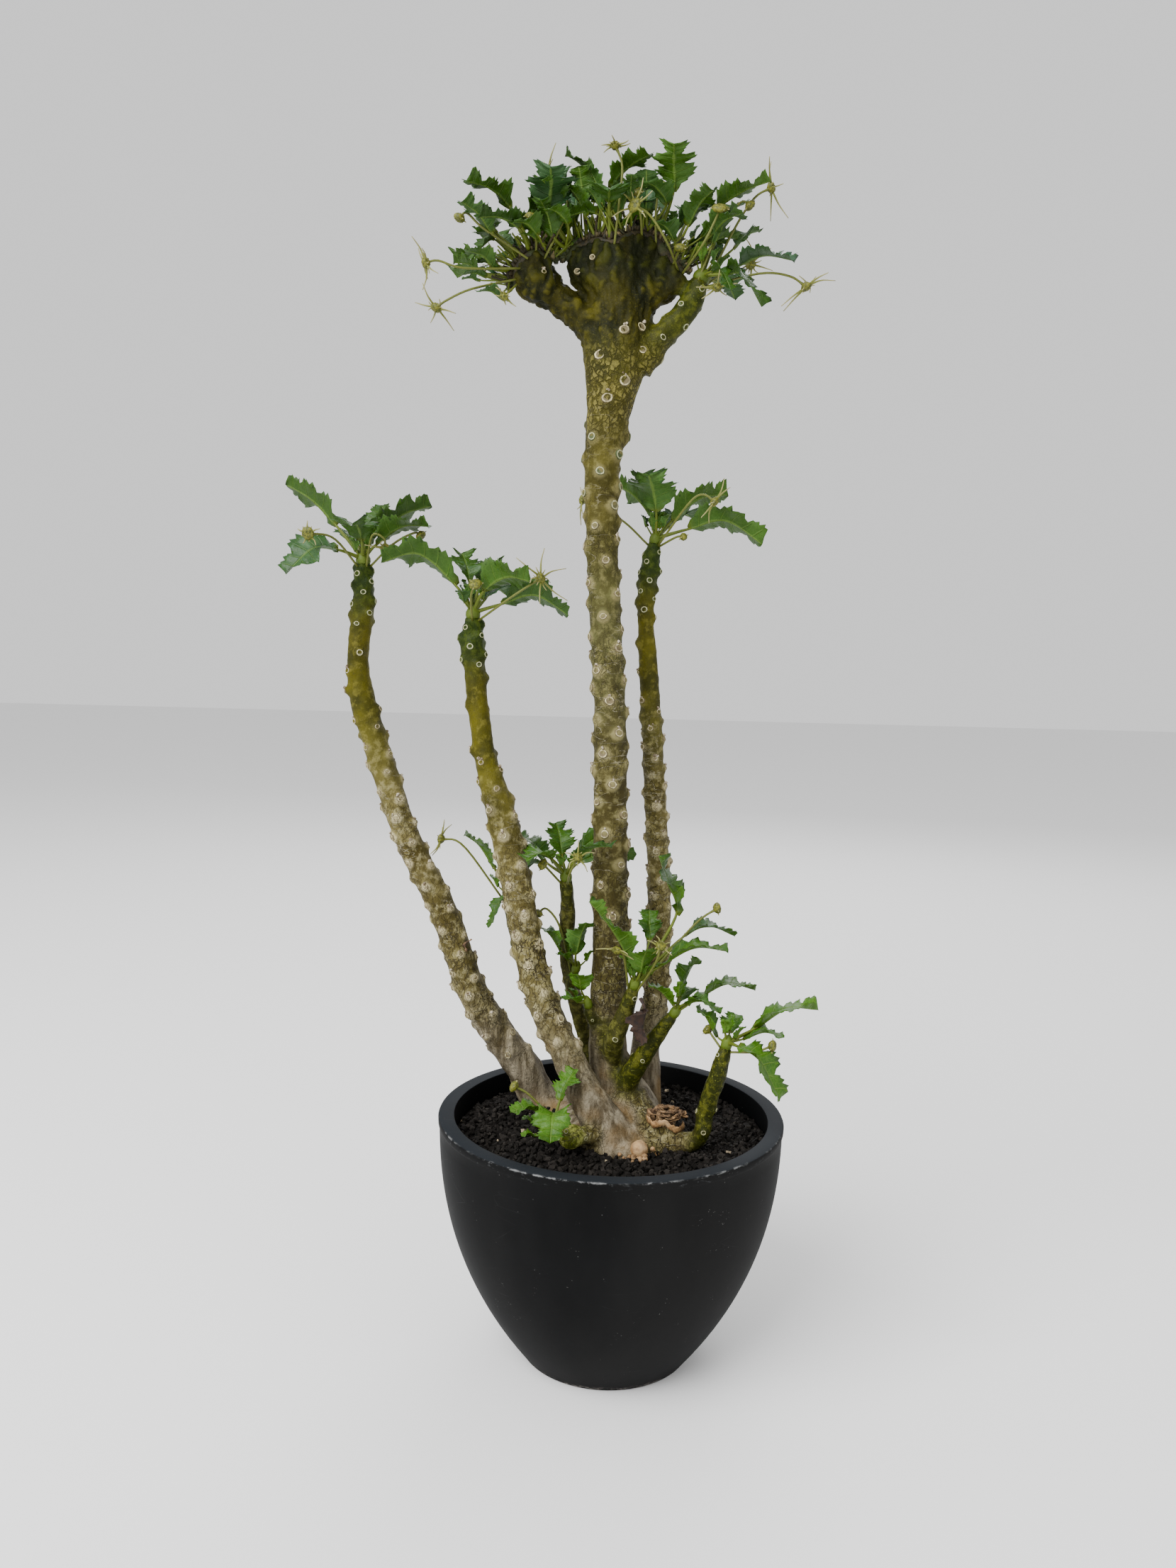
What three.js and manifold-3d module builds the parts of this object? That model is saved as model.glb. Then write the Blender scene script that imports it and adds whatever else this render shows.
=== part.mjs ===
// Potted crested dorstenia: a round tapered pot, its soil, and one old plant whose tall trunk
// ends in fans with leafy growing ridges, with plain side stems that each end in a leaf head.
// Millimetres, +Z up. The origin is the middle of the pot's flat base.
import * as THREE from 'three';
import { mergeVertices } from 'three/addons/utils/BufferGeometryUtils.js';
import Module from 'manifold-3d';

const wasm = await Module();
wasm.setup();

// Pot
const POT_HEIGHT = 106;
const POT_RIM_RADIUS = 75;
const POT_BASE_RADIUS = 37.6;
const POT_BULGE = 2.3;
const POT_WALL = 3;
const POT_FLOOR = 3;
const POT_RIM_WIDTH = 7;
const POT_LIP_HEIGHT = 3.5;
const POT_LIP_STEP = 0.6;
const POT_RIM_DEPTH = 12;
const POT_SEGMENTS = 32;
const POT_WALL_STEPS = 5;
const POT_WALL_EASE = 1.3;
const POT_INNER_STEPS = 3;
const POT_EDGE = 0.8;
const POT_LIP_FLARE = 0.1;
const DRAIN_HOLES = 5;
const DRAIN_RADIUS = 4;
const DRAIN_CIRCLE = 22;
const DRAIN_SIDES = 8;
const DRAIN_CUT_HEIGHT = 9;

// Soil
const SOIL_LEVEL = 97;
const SOIL_MOUND = 1.2;
const SOIL_BUMP = 0.7;
const SOIL_HOLE_EXTRA = 0.2;
const SOIL_RINGS = 3;

// Clearance between pieces that touch
const GAP = 0.3;

// The largest loose scrap that may be dropped, in cubic millimetres
const LOOSE_SCRAP = 2;

// Stems
const TRUNK_SIDES = 9;
const STEM_SIDES = 8;
const SHOOT_SIDES = 6;
const SCAR_TURN = 2.4;
const SCAR_RISE = 1.1;
const SCAR_TAPER = 0.55;
const CAUDEX_SIDES = 12;
const CAUDEX_LOBING = 0.08;
const TUBER_FORM = [1.15, 1, 0.85];

// Fans and their growing ridges
const FAN_HALF_SIDES = 8;
const FAN_WAVE = 2.6;
const FAN_WAVE_LENGTH = 5.2;
const RIDGE_HEIGHT = 3.4;
const RIDGE_INSET = 0.8;
const RIDGE_GAP = 0.6;

// Leaves
const PETIOLE_HALF_WIDTH = 0.75;
const PETIOLE_HALF_THICKNESS = 0.6;
const PETIOLE_FLARE = 1.3;
const BLADE_HALF_THICKNESS = 0.33;
const MIDRIB_EXTRA = 0.1;
const BLADE_LEAN = 0.8;
const BLADE_FULLNESS = 0.7;
const BLADE_CUP = 0.25;
const LEAF_ARCH = 0.12;
const LOBE_VALLEY = 0.35;
const LOBE_PEAK = 0.95;
const LOBE_END = 0.25;
const LOBE_CUT = 0.5;
const LOBE_SWING = 0.14;
const LOBE_FOLLOW = 0.4;
const FULL_LEAF_WIDTH = 13;

// Leaf bud at the end of each stem
const APEX_SIDES = 6;
const APEX_SHOULDER = 2.2;
const APEX_HEIGHT = 4.6;
const LEAF_ROOT_REACH = 0.4;

// Blooms
const PEDUNCLE_RADIUS = 0.6;
const ARM_HALF_THICKNESS = 0.4;
const BLOOM_FOOT_BELOW = 1.6;
const BLOOM_FOOT_CLEAR = 1;
const FAN_FOOT_CLEAR = 1.7;
const BLOOM_TURN = 0.3;
const ARM_ROOT = 0.8;

// Repeatable random numbers between 0 and 1
function seeded(seed) {
  let state = seed >>> 0;
  return () => {
    state = (state * 1664525 + 1013904223) >>> 0;
    return state / 4294967296;
  };
}

const vec = (x, y, z) => new THREE.Vector3(x, y, z);
const mix = (a, b, t) => a + (b - a) * t;

// Solids from points and triangles, and back to meshes
function solidOf(points, triangles) {
  const vertProperties = new Float32Array(points.length * 3);
  points.forEach((p, i) => p.toArray(vertProperties, i * 3));
  const triVerts = new Uint32Array(triangles.flat());
  return new wasm.Manifold(new wasm.Mesh({ numProp: 3, vertProperties, triVerts }));
}

function solidOfGeometry(geometry) {
  const bare = geometry.clone();
  bare.deleteAttribute('normal');
  bare.deleteAttribute('uv');
  const merged = mergeVertices(bare, 1e-4);
  const points = [];
  for (let i = 0; i < merged.attributes.position.count; i += 1) {
    points.push(new THREE.Vector3().fromBufferAttribute(merged.attributes.position, i));
  }
  const index = Array.from(merged.index.array);
  const triangles = [];
  for (let i = 0; i < index.length; i += 3) {
    const triangle = index.slice(i, i + 3);
    if (new Set(triangle).size === 3) triangles.push(triangle);
  }
  return solidOf(points, triangles);
}

// The largest connected body of a solid, with any sealed hollow or loose scrap dropped
function wholeBody(solid) {
  const bodies = solid.decompose().filter((body) => body.volume() > 0);
  bodies.sort((a, b) => b.volume() - a.volume());
  if (bodies.length > 1 && bodies[1].volume() > LOOSE_SCRAP) throw new Error('a limb has come off');
  return bodies[0];
}

const group = new THREE.Group();

function addPiece(name, solid, finish) {
  const mesh = wholeBody(solid).getMesh();
  const geometry = new THREE.BufferGeometry();
  const positions = new Float32Array(mesh.numVert * 3);
  for (let i = 0; i < mesh.numVert; i += 1) {
    for (let k = 0; k < 3; k += 1) positions[i * 3 + k] = mesh.vertProperties[i * mesh.numProp + k];
  }
  geometry.setAttribute('position', new THREE.BufferAttribute(positions, 3));
  geometry.setIndex(new THREE.BufferAttribute(new Uint32Array(mesh.triVerts), 1));
  geometry.computeVertexNormals();
  const piece = new THREE.Mesh(geometry, new THREE.MeshStandardMaterial({ ...finish, metalness: 0 }));
  piece.name = name;
  group.add(piece);
}

// A closed skin through rings of points, all with the same number of points
function skin(rings) {
  const sides = rings[0].length;
  const points = rings.flat();
  const triangles = [];
  for (let i = 0; i + 1 < rings.length; i += 1) {
    for (let j = 0; j < sides; j += 1) {
      const a = i * sides + j;
      const b = i * sides + ((j + 1) % sides);
      triangles.push([a, b, b + sides], [a, b + sides, a + sides]);
    }
  }
  const last = (rings.length - 1) * sides;
  for (let j = 1; 2 * j < sides; j += 1) {
    const low = j;
    const high = sides - j;
    triangles.push([j - 1, high % sides, low]);
    triangles.push([last + j - 1, last + low, last + (high % sides)]);
    if (high - 1 > low) {
      triangles.push([low, high, high - 1]);
      triangles.push([last + low, last + high - 1, last + high]);
    }
  }
  return solidOf(points, triangles.filter((triangle) => new Set(triangle).size === 3));
}

// A round tapering limb through points [x, y, z, radius]
function limb(path, sides, grow = 0) {
  const centres = path.map(([x, y, z]) => vec(x, y, z));
  const rings = path.map(([, , , radius], i) => {
    const before = centres[Math.max(i - 1, 0)];
    const after = centres[Math.min(i + 1, path.length - 1)];
    const along = after.clone().sub(before).normalize();
    const across = vec(0, 1, 0).cross(along).normalize();
    const side = along.clone().cross(across);
    const end = i === 0 ? -grow : i === path.length - 1 ? grow : 0;
    const centre = centres[i].clone().addScaledVector(along, end);
    return Array.from({ length: sides }, (_, j) => {
      const angle = (2 * Math.PI * j) / sides;
      return centre
        .clone()
        .addScaledVector(across, Math.cos(angle) * (radius + grow))
        .addScaledVector(side, Math.sin(angle) * (radius + grow));
    });
  });
  return skin(rings);
}

// Pot: a tapered bowl with a flat rim and drain holes in its floor
function potRadius(z) {
  return POT_RIM_RADIUS - (POT_RIM_RADIUS - POT_BASE_RADIUS) * (1 - z / POT_HEIGHT) ** POT_BULGE;
}

function potInnerRadius(z) {
  const wall = potRadius(z) - POT_LIP_STEP - POT_WALL;
  return Math.min(wall, POT_RIM_RADIUS - POT_RIM_WIDTH);
}

function potInnerLevel(step) {
  return mix(POT_FLOOR, POT_HEIGHT - POT_RIM_DEPTH, step / POT_INNER_STEPS);
}

function makePot() {
  const lip = POT_HEIGHT - POT_LIP_HEIGHT;
  const outer = [new THREE.Vector2(0, 0)];
  for (let i = 0; i <= POT_WALL_STEPS; i += 1) {
    const z = lip * (i / POT_WALL_STEPS) ** POT_WALL_EASE;
    outer.push(new THREE.Vector2(potRadius(z) - (i > 0 ? POT_LIP_STEP : 0), z));
  }
  outer.push(new THREE.Vector2(POT_RIM_RADIUS - POT_LIP_FLARE, lip + POT_LIP_STEP));
  outer.push(new THREE.Vector2(POT_RIM_RADIUS, POT_HEIGHT - POT_EDGE));
  outer.push(new THREE.Vector2(POT_RIM_RADIUS - POT_EDGE, POT_HEIGHT));
  outer.push(new THREE.Vector2(POT_RIM_RADIUS - POT_RIM_WIDTH, POT_HEIGHT));
  const inner = [];
  for (let i = POT_INNER_STEPS; i >= 0; i -= 1) {
    const z = potInnerLevel(i);
    inner.push(new THREE.Vector2(potInnerRadius(z), z));
  }
  inner.push(new THREE.Vector2(0, POT_FLOOR));
  const lathe = new THREE.LatheGeometry([...outer, ...inner], POT_SEGMENTS);
  lathe.rotateX(Math.PI / 2);
  let pot = solidOfGeometry(lathe);
  for (let i = 0; i < DRAIN_HOLES; i += 1) {
    const angle = (2 * Math.PI * i) / DRAIN_HOLES;
    const hole = new THREE.CylinderGeometry(DRAIN_RADIUS, DRAIN_RADIUS, DRAIN_CUT_HEIGHT, DRAIN_SIDES);
    hole.rotateX(Math.PI / 2);
    hole.translate(DRAIN_CIRCLE * Math.cos(angle), DRAIN_CIRCLE * Math.sin(angle), 0);
    pot = pot.subtract(solidOfGeometry(hole));
  }
  return pot;
}

// Stem centrelines, [x, y, z, radius]
const TRUNK = [
  [9, 5, 98, 16], [7, 6, 106, 12.5], [2, 6, 121, 10.2], [-2, 6, 134, 8.6], [-2, 5, 180, 8],
  [-3, 4, 212, 7.6], [-5, 3, 280, 7], [-9, 2, 335, 6.8], [-11, 1, 378, 7.4], [-9, 0, 402, 9.4],
];
const LEFT_STEM = [
  [-8, 12, 90, 9], [-29, 31, 96, 9.2], [-40, 28, 115, 8.2], [-50, 26, 129, 7.8],
  [-64, 22, 153, 7], [-76, 18, 188, 6.3], [-92, 15, 221, 5.9], [-103, 13, 253, 5.7],
  [-112, 11, 283, 5.7], [-114, 10, 300, 4.9], [-112, 10, 322, 4.9], [-112, 10, 341, 3.6],
];
const CENTRE_STEM = [
  [4, -12, 92, 9], [0, -18, 102, 9], [-12, -13, 119, 7.9], [-21, -9, 136, 7],
  [-31, -7, 157, 6.7], [-37, -5, 177, 6.7], [-43, -3, 206, 6.7], [-50, -1, 235, 6.6],
  [-58, 1, 262, 4.9], [-63, 3, 297, 4.9], [-64, 3, 306, 5.4], [-64, 3, 319, 3.5],
];
const RIGHT_STEM = [
  [14, 18, 88, 8], [16, 22, 100, 7.8], [16, 26, 130, 6.8], [20, 27, 153, 5.9],
  [20, 27, 198, 5.5], [17, 25, 237, 5.1], [13, 23, 287, 4.7], [10, 22, 322, 3.8],
  [11, 22, 341, 4.5], [13, 22, 354, 3],
];
const BACK_SHOOT = [
  [-1, 13, 102, 6], [-8, 22, 120, 4.3], [-15, 18, 144, 3.7], [-21, 13, 170, 3.5],
  [-21, 9, 192, 3.7], [-22, 6, 207, 3],
];
const THIN_SHOOT = [
  [-6, 15, 101, 5], [-20, 26, 122, 3.9], [-38, 25, 156, 3.2], [-46, 22, 186, 3.2],
  [-48, 21, 196, 2.8],
];
const SIDE_SHOOT = [[-16, 17, 149, 2.8], [-19, 12, 158, 2.7], [-17, 9, 166, 2.3]];
const TRUNK_BUD = [[-4, 4, 139, 3.4], [-10, 0, 149, 2.8], [-11, -1, 153, 2.3]];
const FRONT_SHOOT = [[0, 2, 128, 5], [1, -6, 141, 4.6], [5, -11, 154, 3.8], [8, -15, 166, 2.8]];
const RIGHT_SHOOT = [[5, -2, 117, 5.5], [12, -8, 132, 4.3], [20, -12, 146, 3.6], [25, -14, 154, 2.6]];
const OUTER_SHOOT = [
  [16, -12, 101, 6.5], [30, -19, 100, 5], [37, -25, 106, 4], [39, -26, 117, 3.8],
  [44, -28, 137, 3.8], [46, -28, 145, 2.7],
];
const LOW_SHOOT = [[-2, -19, 103, 5.5], [-12, -26, 105, 4], [-18, -29, 106, 3.6], [-23, -31, 108, 2.7]];
const CREST_BRANCH = [
  [2, 0, 424, 8], [12, -1, 435, 5.6], [19, -2, 442, 5.2], [24, -3, 449, 5], [27, -4, 457, 3.9],
];

// Caudex: level, half widths across and deep, and centre
const CAUDEX = [
  [82, 22, 20, 3, -2], [90, 26, 24, 3, -2], [98, 27, 26, 2, -3], [103, 21, 21, 3, -2],
  [109, 15, 15, 6, 1], [117, 11, 11, 5, 4],
];

// Fans: each ring is a line of [x, z] points across the fan, and half its depth
const CENTRE_FAN = [
  { line: [[-17.5, 399], [-1, 399]], depth: 8.5 },
  { line: [[-19, 418], [5, 418]], depth: 10.5 },
  { line: [[-20, 431], [8, 431]], depth: 11 },
  { line: [[-18.5, 442], [9, 441]], depth: 9.8 },
  { line: [[-19, 448], [11, 447]], depth: 9 },
  { line: [[-22, 453], [19, 452]], depth: 8.5 },
  { line: [[-27, 459], [22, 456]], depth: 8 },
  {
    line: [
      [-28, 464.5], [-24.5, 469.5], [-16, 471.5], [-8, 470], [0, 474.5], [8, 473.5], [15, 466],
      [21.5, 459.5],
    ],
    depth: 7,
  },
];
const LEFT_FAN = [
  { line: [[-15, 424], [-6, 443]], depth: 8 },
  { line: [[-25, 437], [-18.5, 448.5]], depth: 7.6 },
  { line: [[-34, 444], [-24, 453]], depth: 7 },
  { line: [[-43, 447.5], [-29, 457]], depth: 7 },
  { line: [[-49, 453], [-47.5, 460], [-43, 464.5], [-38, 465.5], [-32.5, 463]], depth: 6.4 },
];

// How far the fan's middle plane sways forward and back, growing towards its ridge
function fanSway(x, rise) {
  return FAN_WAVE * rise * Math.sin(x / FAN_WAVE_LENGTH);
}

function fanCurve(line) {
  return new THREE.CatmullRomCurve3(line.map(([x, z]) => vec(x, 0, z)), false, 'catmullrom');
}

function fanRing(line, depth, rise, lift = 0, inset = 0) {
  const curve = fanCurve(line);
  const shrink = 1 - (2 * inset) / curve.getLength();
  const stations = Array.from({ length: FAN_HALF_SIDES + 1 }, (_, j) => {
    const across = -Math.cos((Math.PI * j) / FAN_HALF_SIDES);
    const place = (across * shrink + 1) / 2;
    const along = curve.getTangent(place);
    const p = curve.getPoint(place).add(vec(-along.z, 0, along.x).multiplyScalar(lift));
    return { p, half: Math.sqrt(1 - across * across) };
  });
  const at = ({ p, half }, side) => vec(p.x, fanSway(p.x, rise) + side * half * (depth - inset), p.z);
  const front = stations.map((station) => at(station, -1));
  const back = stations.slice(1, -1).reverse().map((station) => at(station, 1));
  return [...front, ...back];
}

function fanSolid(fan) {
  return skin(fan.map(({ line, depth }, i) => fanRing(line, depth, i / (fan.length - 1))));
}

// Growing ridge: a low cushion along the top edge of a fan, from which the leaves rise
function ridgeSolid(fan) {
  const { line, depth } = fan[fan.length - 1];
  return skin([
    fanRing(line, depth, 1, RIDGE_GAP, RIDGE_INSET),
    fanRing(line, depth, 1, RIDGE_GAP + RIDGE_HEIGHT / 2, RIDGE_INSET / 2),
    fanRing(line, depth, 1, RIDGE_GAP + RIDGE_HEIGHT, 3 * RIDGE_INSET),
  ]);
}

function ridgePoint(fan, place, row) {
  const { line, depth } = fan[fan.length - 1];
  const curve = fanCurve(line);
  const along = curve.getTangent(place);
  const up = vec(-along.z, 0, along.x).multiplyScalar(RIDGE_GAP + RIDGE_HEIGHT / 2);
  const p = curve.getPoint(place).add(up);
  const half = 2 * Math.sqrt(Math.max(place - place * place, 0));
  return vec(p.x, fanSway(p.x, 1) + row * half * (depth - 3 * RIDGE_INSET), p.z);
}

// Leaf scars: low blunt knobs set in a spiral round a stem
function scars({ path, from, to, knobs: count, size }) {
  const curve = new THREE.CatmullRomCurve3(path.map(([x, y, z]) => vec(x, y, z)), false, 'catmullrom');
  const solids = [];
  for (let i = 0; i < count; i += 1) {
    const t = mix(from, to, (i + 0.5) / count);
    const place = t * (path.length - 1);
    const below = Math.min(Math.floor(place), path.length - 2);
    const radius = mix(path[below][3], path[below + 1][3], place - below);
    const centre = curve.getPoint(t);
    const along = curve.getTangent(t);
    const across = vec(0, 1, 0).cross(along).normalize();
    const out = across.applyAxisAngle(along, i * SCAR_TURN);
    const foot = centre.clone().addScaledVector(out, radius - size);
    const tip = centre.clone().addScaledVector(out, radius + SCAR_RISE);
    solids.push(knob(foot, tip, along, size, size * SCAR_TAPER));
  }
  return solids;
}

function knob(foot, tip, along, wide, narrow) {
  const out = tip.clone().sub(foot).normalize();
  const side = along.clone().cross(out).normalize();
  const up = out.clone().cross(side);
  const square = (centre, half) =>
    [[1, 0], [0, 1], [-1, 0], [0, -1]].map(([a, b]) =>
      centre.clone().addScaledVector(side, a * half).addScaledVector(up, b * half));
  return skin([square(foot, wide), square(tip, narrow)]);
}

// The old cut on the caudex, and the small tubers at its foot
const OLD_CUT = [[18, -11, 102, 5.5], [22, -14, 107, 6], [24, -15.5, 110, 4.6]];
const TUBERS = [[15, -25, 98.5, 3.4], [10, -27, 98.5, 3], [8, -31.5, 98, 2.8], [12, -32, 98, 3.2]];

function tuberSolid([x, y, z, radius]) {
  const ball = new THREE.IcosahedronGeometry(radius, 0);
  ball.scale(...TUBER_FORM);
  ball.translate(x, y, z);
  return solidOfGeometry(ball);
}

function caudexSolid(grow = 0) {
  const random = seeded(7);
  const lobes = Array.from({ length: CAUDEX_SIDES }, () => 1 + CAUDEX_LOBING * mix(-1, 1, random()));
  return skin(CAUDEX.map(([z, wide, deep, x, y], i) => lobes.map((lobe, j) => {
    const angle = (2 * Math.PI * j) / CAUDEX_SIDES;
    const level = i === 0 ? z - grow : z;
    return vec(
      x + Math.cos(angle) * (wide * lobe + grow),
      y + Math.sin(angle) * (deep * lobe + grow),
      level,
    );
  })));
}

const STEMS = [
  { path: TRUNK, sides: TRUNK_SIDES, knobs: 12, from: 0.42, to: 0.98, size: 2.4 },
  { path: LEFT_STEM, sides: STEM_SIDES, knobs: 8, from: 0.25, to: 0.97, size: 2 },
  { path: CENTRE_STEM, sides: STEM_SIDES, knobs: 7, from: 0.3, to: 0.95, size: 2 },
  { path: RIGHT_STEM, sides: STEM_SIDES, knobs: 6, from: 0.3, to: 0.95, size: 1.8 },
  { path: BACK_SHOOT, sides: SHOOT_SIDES },
  { path: THIN_SHOOT, sides: SHOOT_SIDES },
  { path: OUTER_SHOOT, sides: SHOOT_SIDES },
  { path: LOW_SHOOT, sides: SHOOT_SIDES },
  { path: OLD_CUT, sides: SHOOT_SIDES },
];
const UPPER_SHOOTS = [SIDE_SHOOT, TRUNK_BUD, FRONT_SHOOT, RIGHT_SHOOT, CREST_BRANCH];

// The plant's foot, as far as it stands in the soil, grown on all sides by the clearance
function plantFoot(grow) {
  const feet = STEMS.map(({ path, sides }) => limb(path.slice(0, 4), sides, grow));
  const knots = TUBERS.map(([x, y, z, radius]) => tuberSolid([x, y, z, radius + grow]));
  return [...feet, ...knots].reduce((whole, foot) => whole.add(foot), caudexSolid(grow));
}

function makePlantBody() {
  const limbs = STEMS.map(({ path, sides }) => limb(path, sides));
  const shoots = UPPER_SHOOTS.map((path) => limb(path, SHOOT_SIDES));
  const knobs = STEMS.filter((stem) => stem.knobs).flatMap(scars);
  const tubers = TUBERS.map(tuberSolid);
  const parts = [...limbs, ...shoots, ...knobs, ...tubers, fanSolid(CENTRE_FAN), fanSolid(LEFT_FAN)];
  return parts.reduce((whole, piece) => whole.add(piece), caudexSolid());
}

// Soil: fills the pot below its surface, with a plain hole where the plant's foot stands
function makeSoil() {
  const random = seeded(11);
  const rings = [];
  const circle = (radius, height) => Array.from({ length: POT_SEGMENTS }, (_, j) => {
    const angle = (2 * Math.PI * j) / POT_SEGMENTS;
    return vec(radius * Math.cos(angle), radius * Math.sin(angle), height());
  });
  for (let i = 0; i <= POT_INNER_STEPS; i += 1) {
    const z = potInnerLevel(i);
    rings.push(circle(potInnerRadius(z) - 2 * GAP, () => z + GAP));
  }
  for (let i = 0; i < SOIL_RINGS; i += 1) {
    const radius = (POT_RIM_RADIUS - POT_RIM_WIDTH - 2 * GAP) * (1 - i / SOIL_RINGS);
    const level = SOIL_LEVEL + SOIL_MOUND * (i / SOIL_RINGS);
    rings.push(circle(radius, () => level + SOIL_BUMP * mix(-1, 1, random())));
  }
  return skin(rings).subtract(plantFoot(GAP + SOIL_HOLE_EXTRA));
}

// Leaf: a thin waved blade with toothed lobes on a slender petiole. The petiole runs from root
// to base and the blade from base to tip. Along the curve s is -1, 0 and 1 at these three points.
function leaf({ root, base, tip, wide, arch = LEAF_ARCH, roll = 0, seed = 1 }) {
  const random = seeded(seed * 7919 + 17);
  const lobes = wide < FULL_LEAF_WIDTH ? 2 : 3;
  const middle = base.clone().lerp(tip, 0.5).add(vec(0, 0, arch * tip.distanceTo(base)));
  const curve = new THREE.CatmullRomCurve3([root, base, middle, tip], false, 'catmullrom');
  const frame = (s) => {
    const t = s < 0 ? (1 + s) / 3 : (1 + 2 * s) / 3;
    const centre = curve.getPoint(t);
    const along = curve.getTangent(t);
    const flat = vec(along.y, -along.x, 0);
    if (flat.length() < 0.05) flat.set(1, 0, 0);
    const across = flat.normalize().applyAxisAngle(along, THREE.MathUtils.degToRad(roll));
    const normal = across.clone().cross(along).normalize();
    return { centre, across, normal };
  };
  const outline = (s) => Math.sin(Math.PI * s ** BLADE_LEAN) ** BLADE_FULLNESS;
  const points = [];
  const pair = (p, normal, half) => {
    points.push(p.clone().addScaledVector(normal, half), p.clone().addScaledVector(normal, -half));
    return points.length - 2;
  };
  const stations = [-1, 0, 0.5, 1];
  const spine = stations.map((s) => {
    const { centre, normal } = frame(s);
    const half = s <= 0 ? PETIOLE_HALF_THICKNESS : BLADE_HALF_THICKNESS + MIDRIB_EXTRA;
    return { s, at: pair(centre, normal, half) };
  });
  const edge = (side) => {
    const list = [[-1, PETIOLE_HALF_WIDTH, 0], [0, PETIOLE_HALF_WIDTH * PETIOLE_FLARE, 0]];
    for (let k = 0; k < lobes; k += 1) {
      const valley = (k + LOBE_VALLEY) / (lobes + LOBE_END);
      const peak = (k + LOBE_PEAK) / (lobes + LOBE_END);
      const swing = LOBE_SWING * wide * mix(0.4, 1, random()) * (k % 2 ? -1 : 1);
      list.push([valley, (wide / 2) * LOBE_CUT * outline(valley), -swing * LOBE_FOLLOW]);
      list.push([peak, (wide / 2) * mix(0.9, 1.08, random()) * outline(peak - 0.1), swing]);
    }
    return list.map(([s, reach, swing]) => {
      const { centre, across, normal } = frame(s);
      const half = s <= 0 ? PETIOLE_HALF_THICKNESS : BLADE_HALF_THICKNESS;
      const lift = swing + BLADE_CUP * reach;
      const p = centre.addScaledVector(across, side * reach).addScaledVector(normal, lift);
      return { s, at: pair(p, normal, half) };
    });
  };
  const triangles = [];
  const put = (side, [a, b, c]) => triangles.push(side > 0 ? [a, b, c] : [c, b, a]);
  const bothFaces = (side, a, b, c) => {
    put(side, [a, b, c]);
    put(side, [c + 1, b + 1, a + 1]);
  };
  const wall = (side, a, b) => {
    put(side, [b, a, a + 1]);
    put(side, [b, a + 1, b + 1]);
  };
  [1, -1].forEach((side) => {
    const rail = edge(side);
    wall(side, spine[0].at, rail[0].at);
    let i = 0;
    let j = 0;
    while (i < spine.length - 1 || j < rail.length - 1) {
      const onRail = j < rail.length - 1 && (i === spine.length - 1 || rail[j + 1].s <= spine[i + 1].s);
      if (onRail) {
        bothFaces(side, spine[i].at, rail[j].at, rail[j + 1].at);
        wall(side, rail[j].at, rail[j + 1].at);
        j += 1;
      } else {
        bothFaces(side, spine[i].at, rail[j].at, spine[i + 1].at);
        i += 1;
      }
    }
    wall(side, rail[j].at, spine[i].at);
  });
  return solidOf(points, triangles);
}

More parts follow.
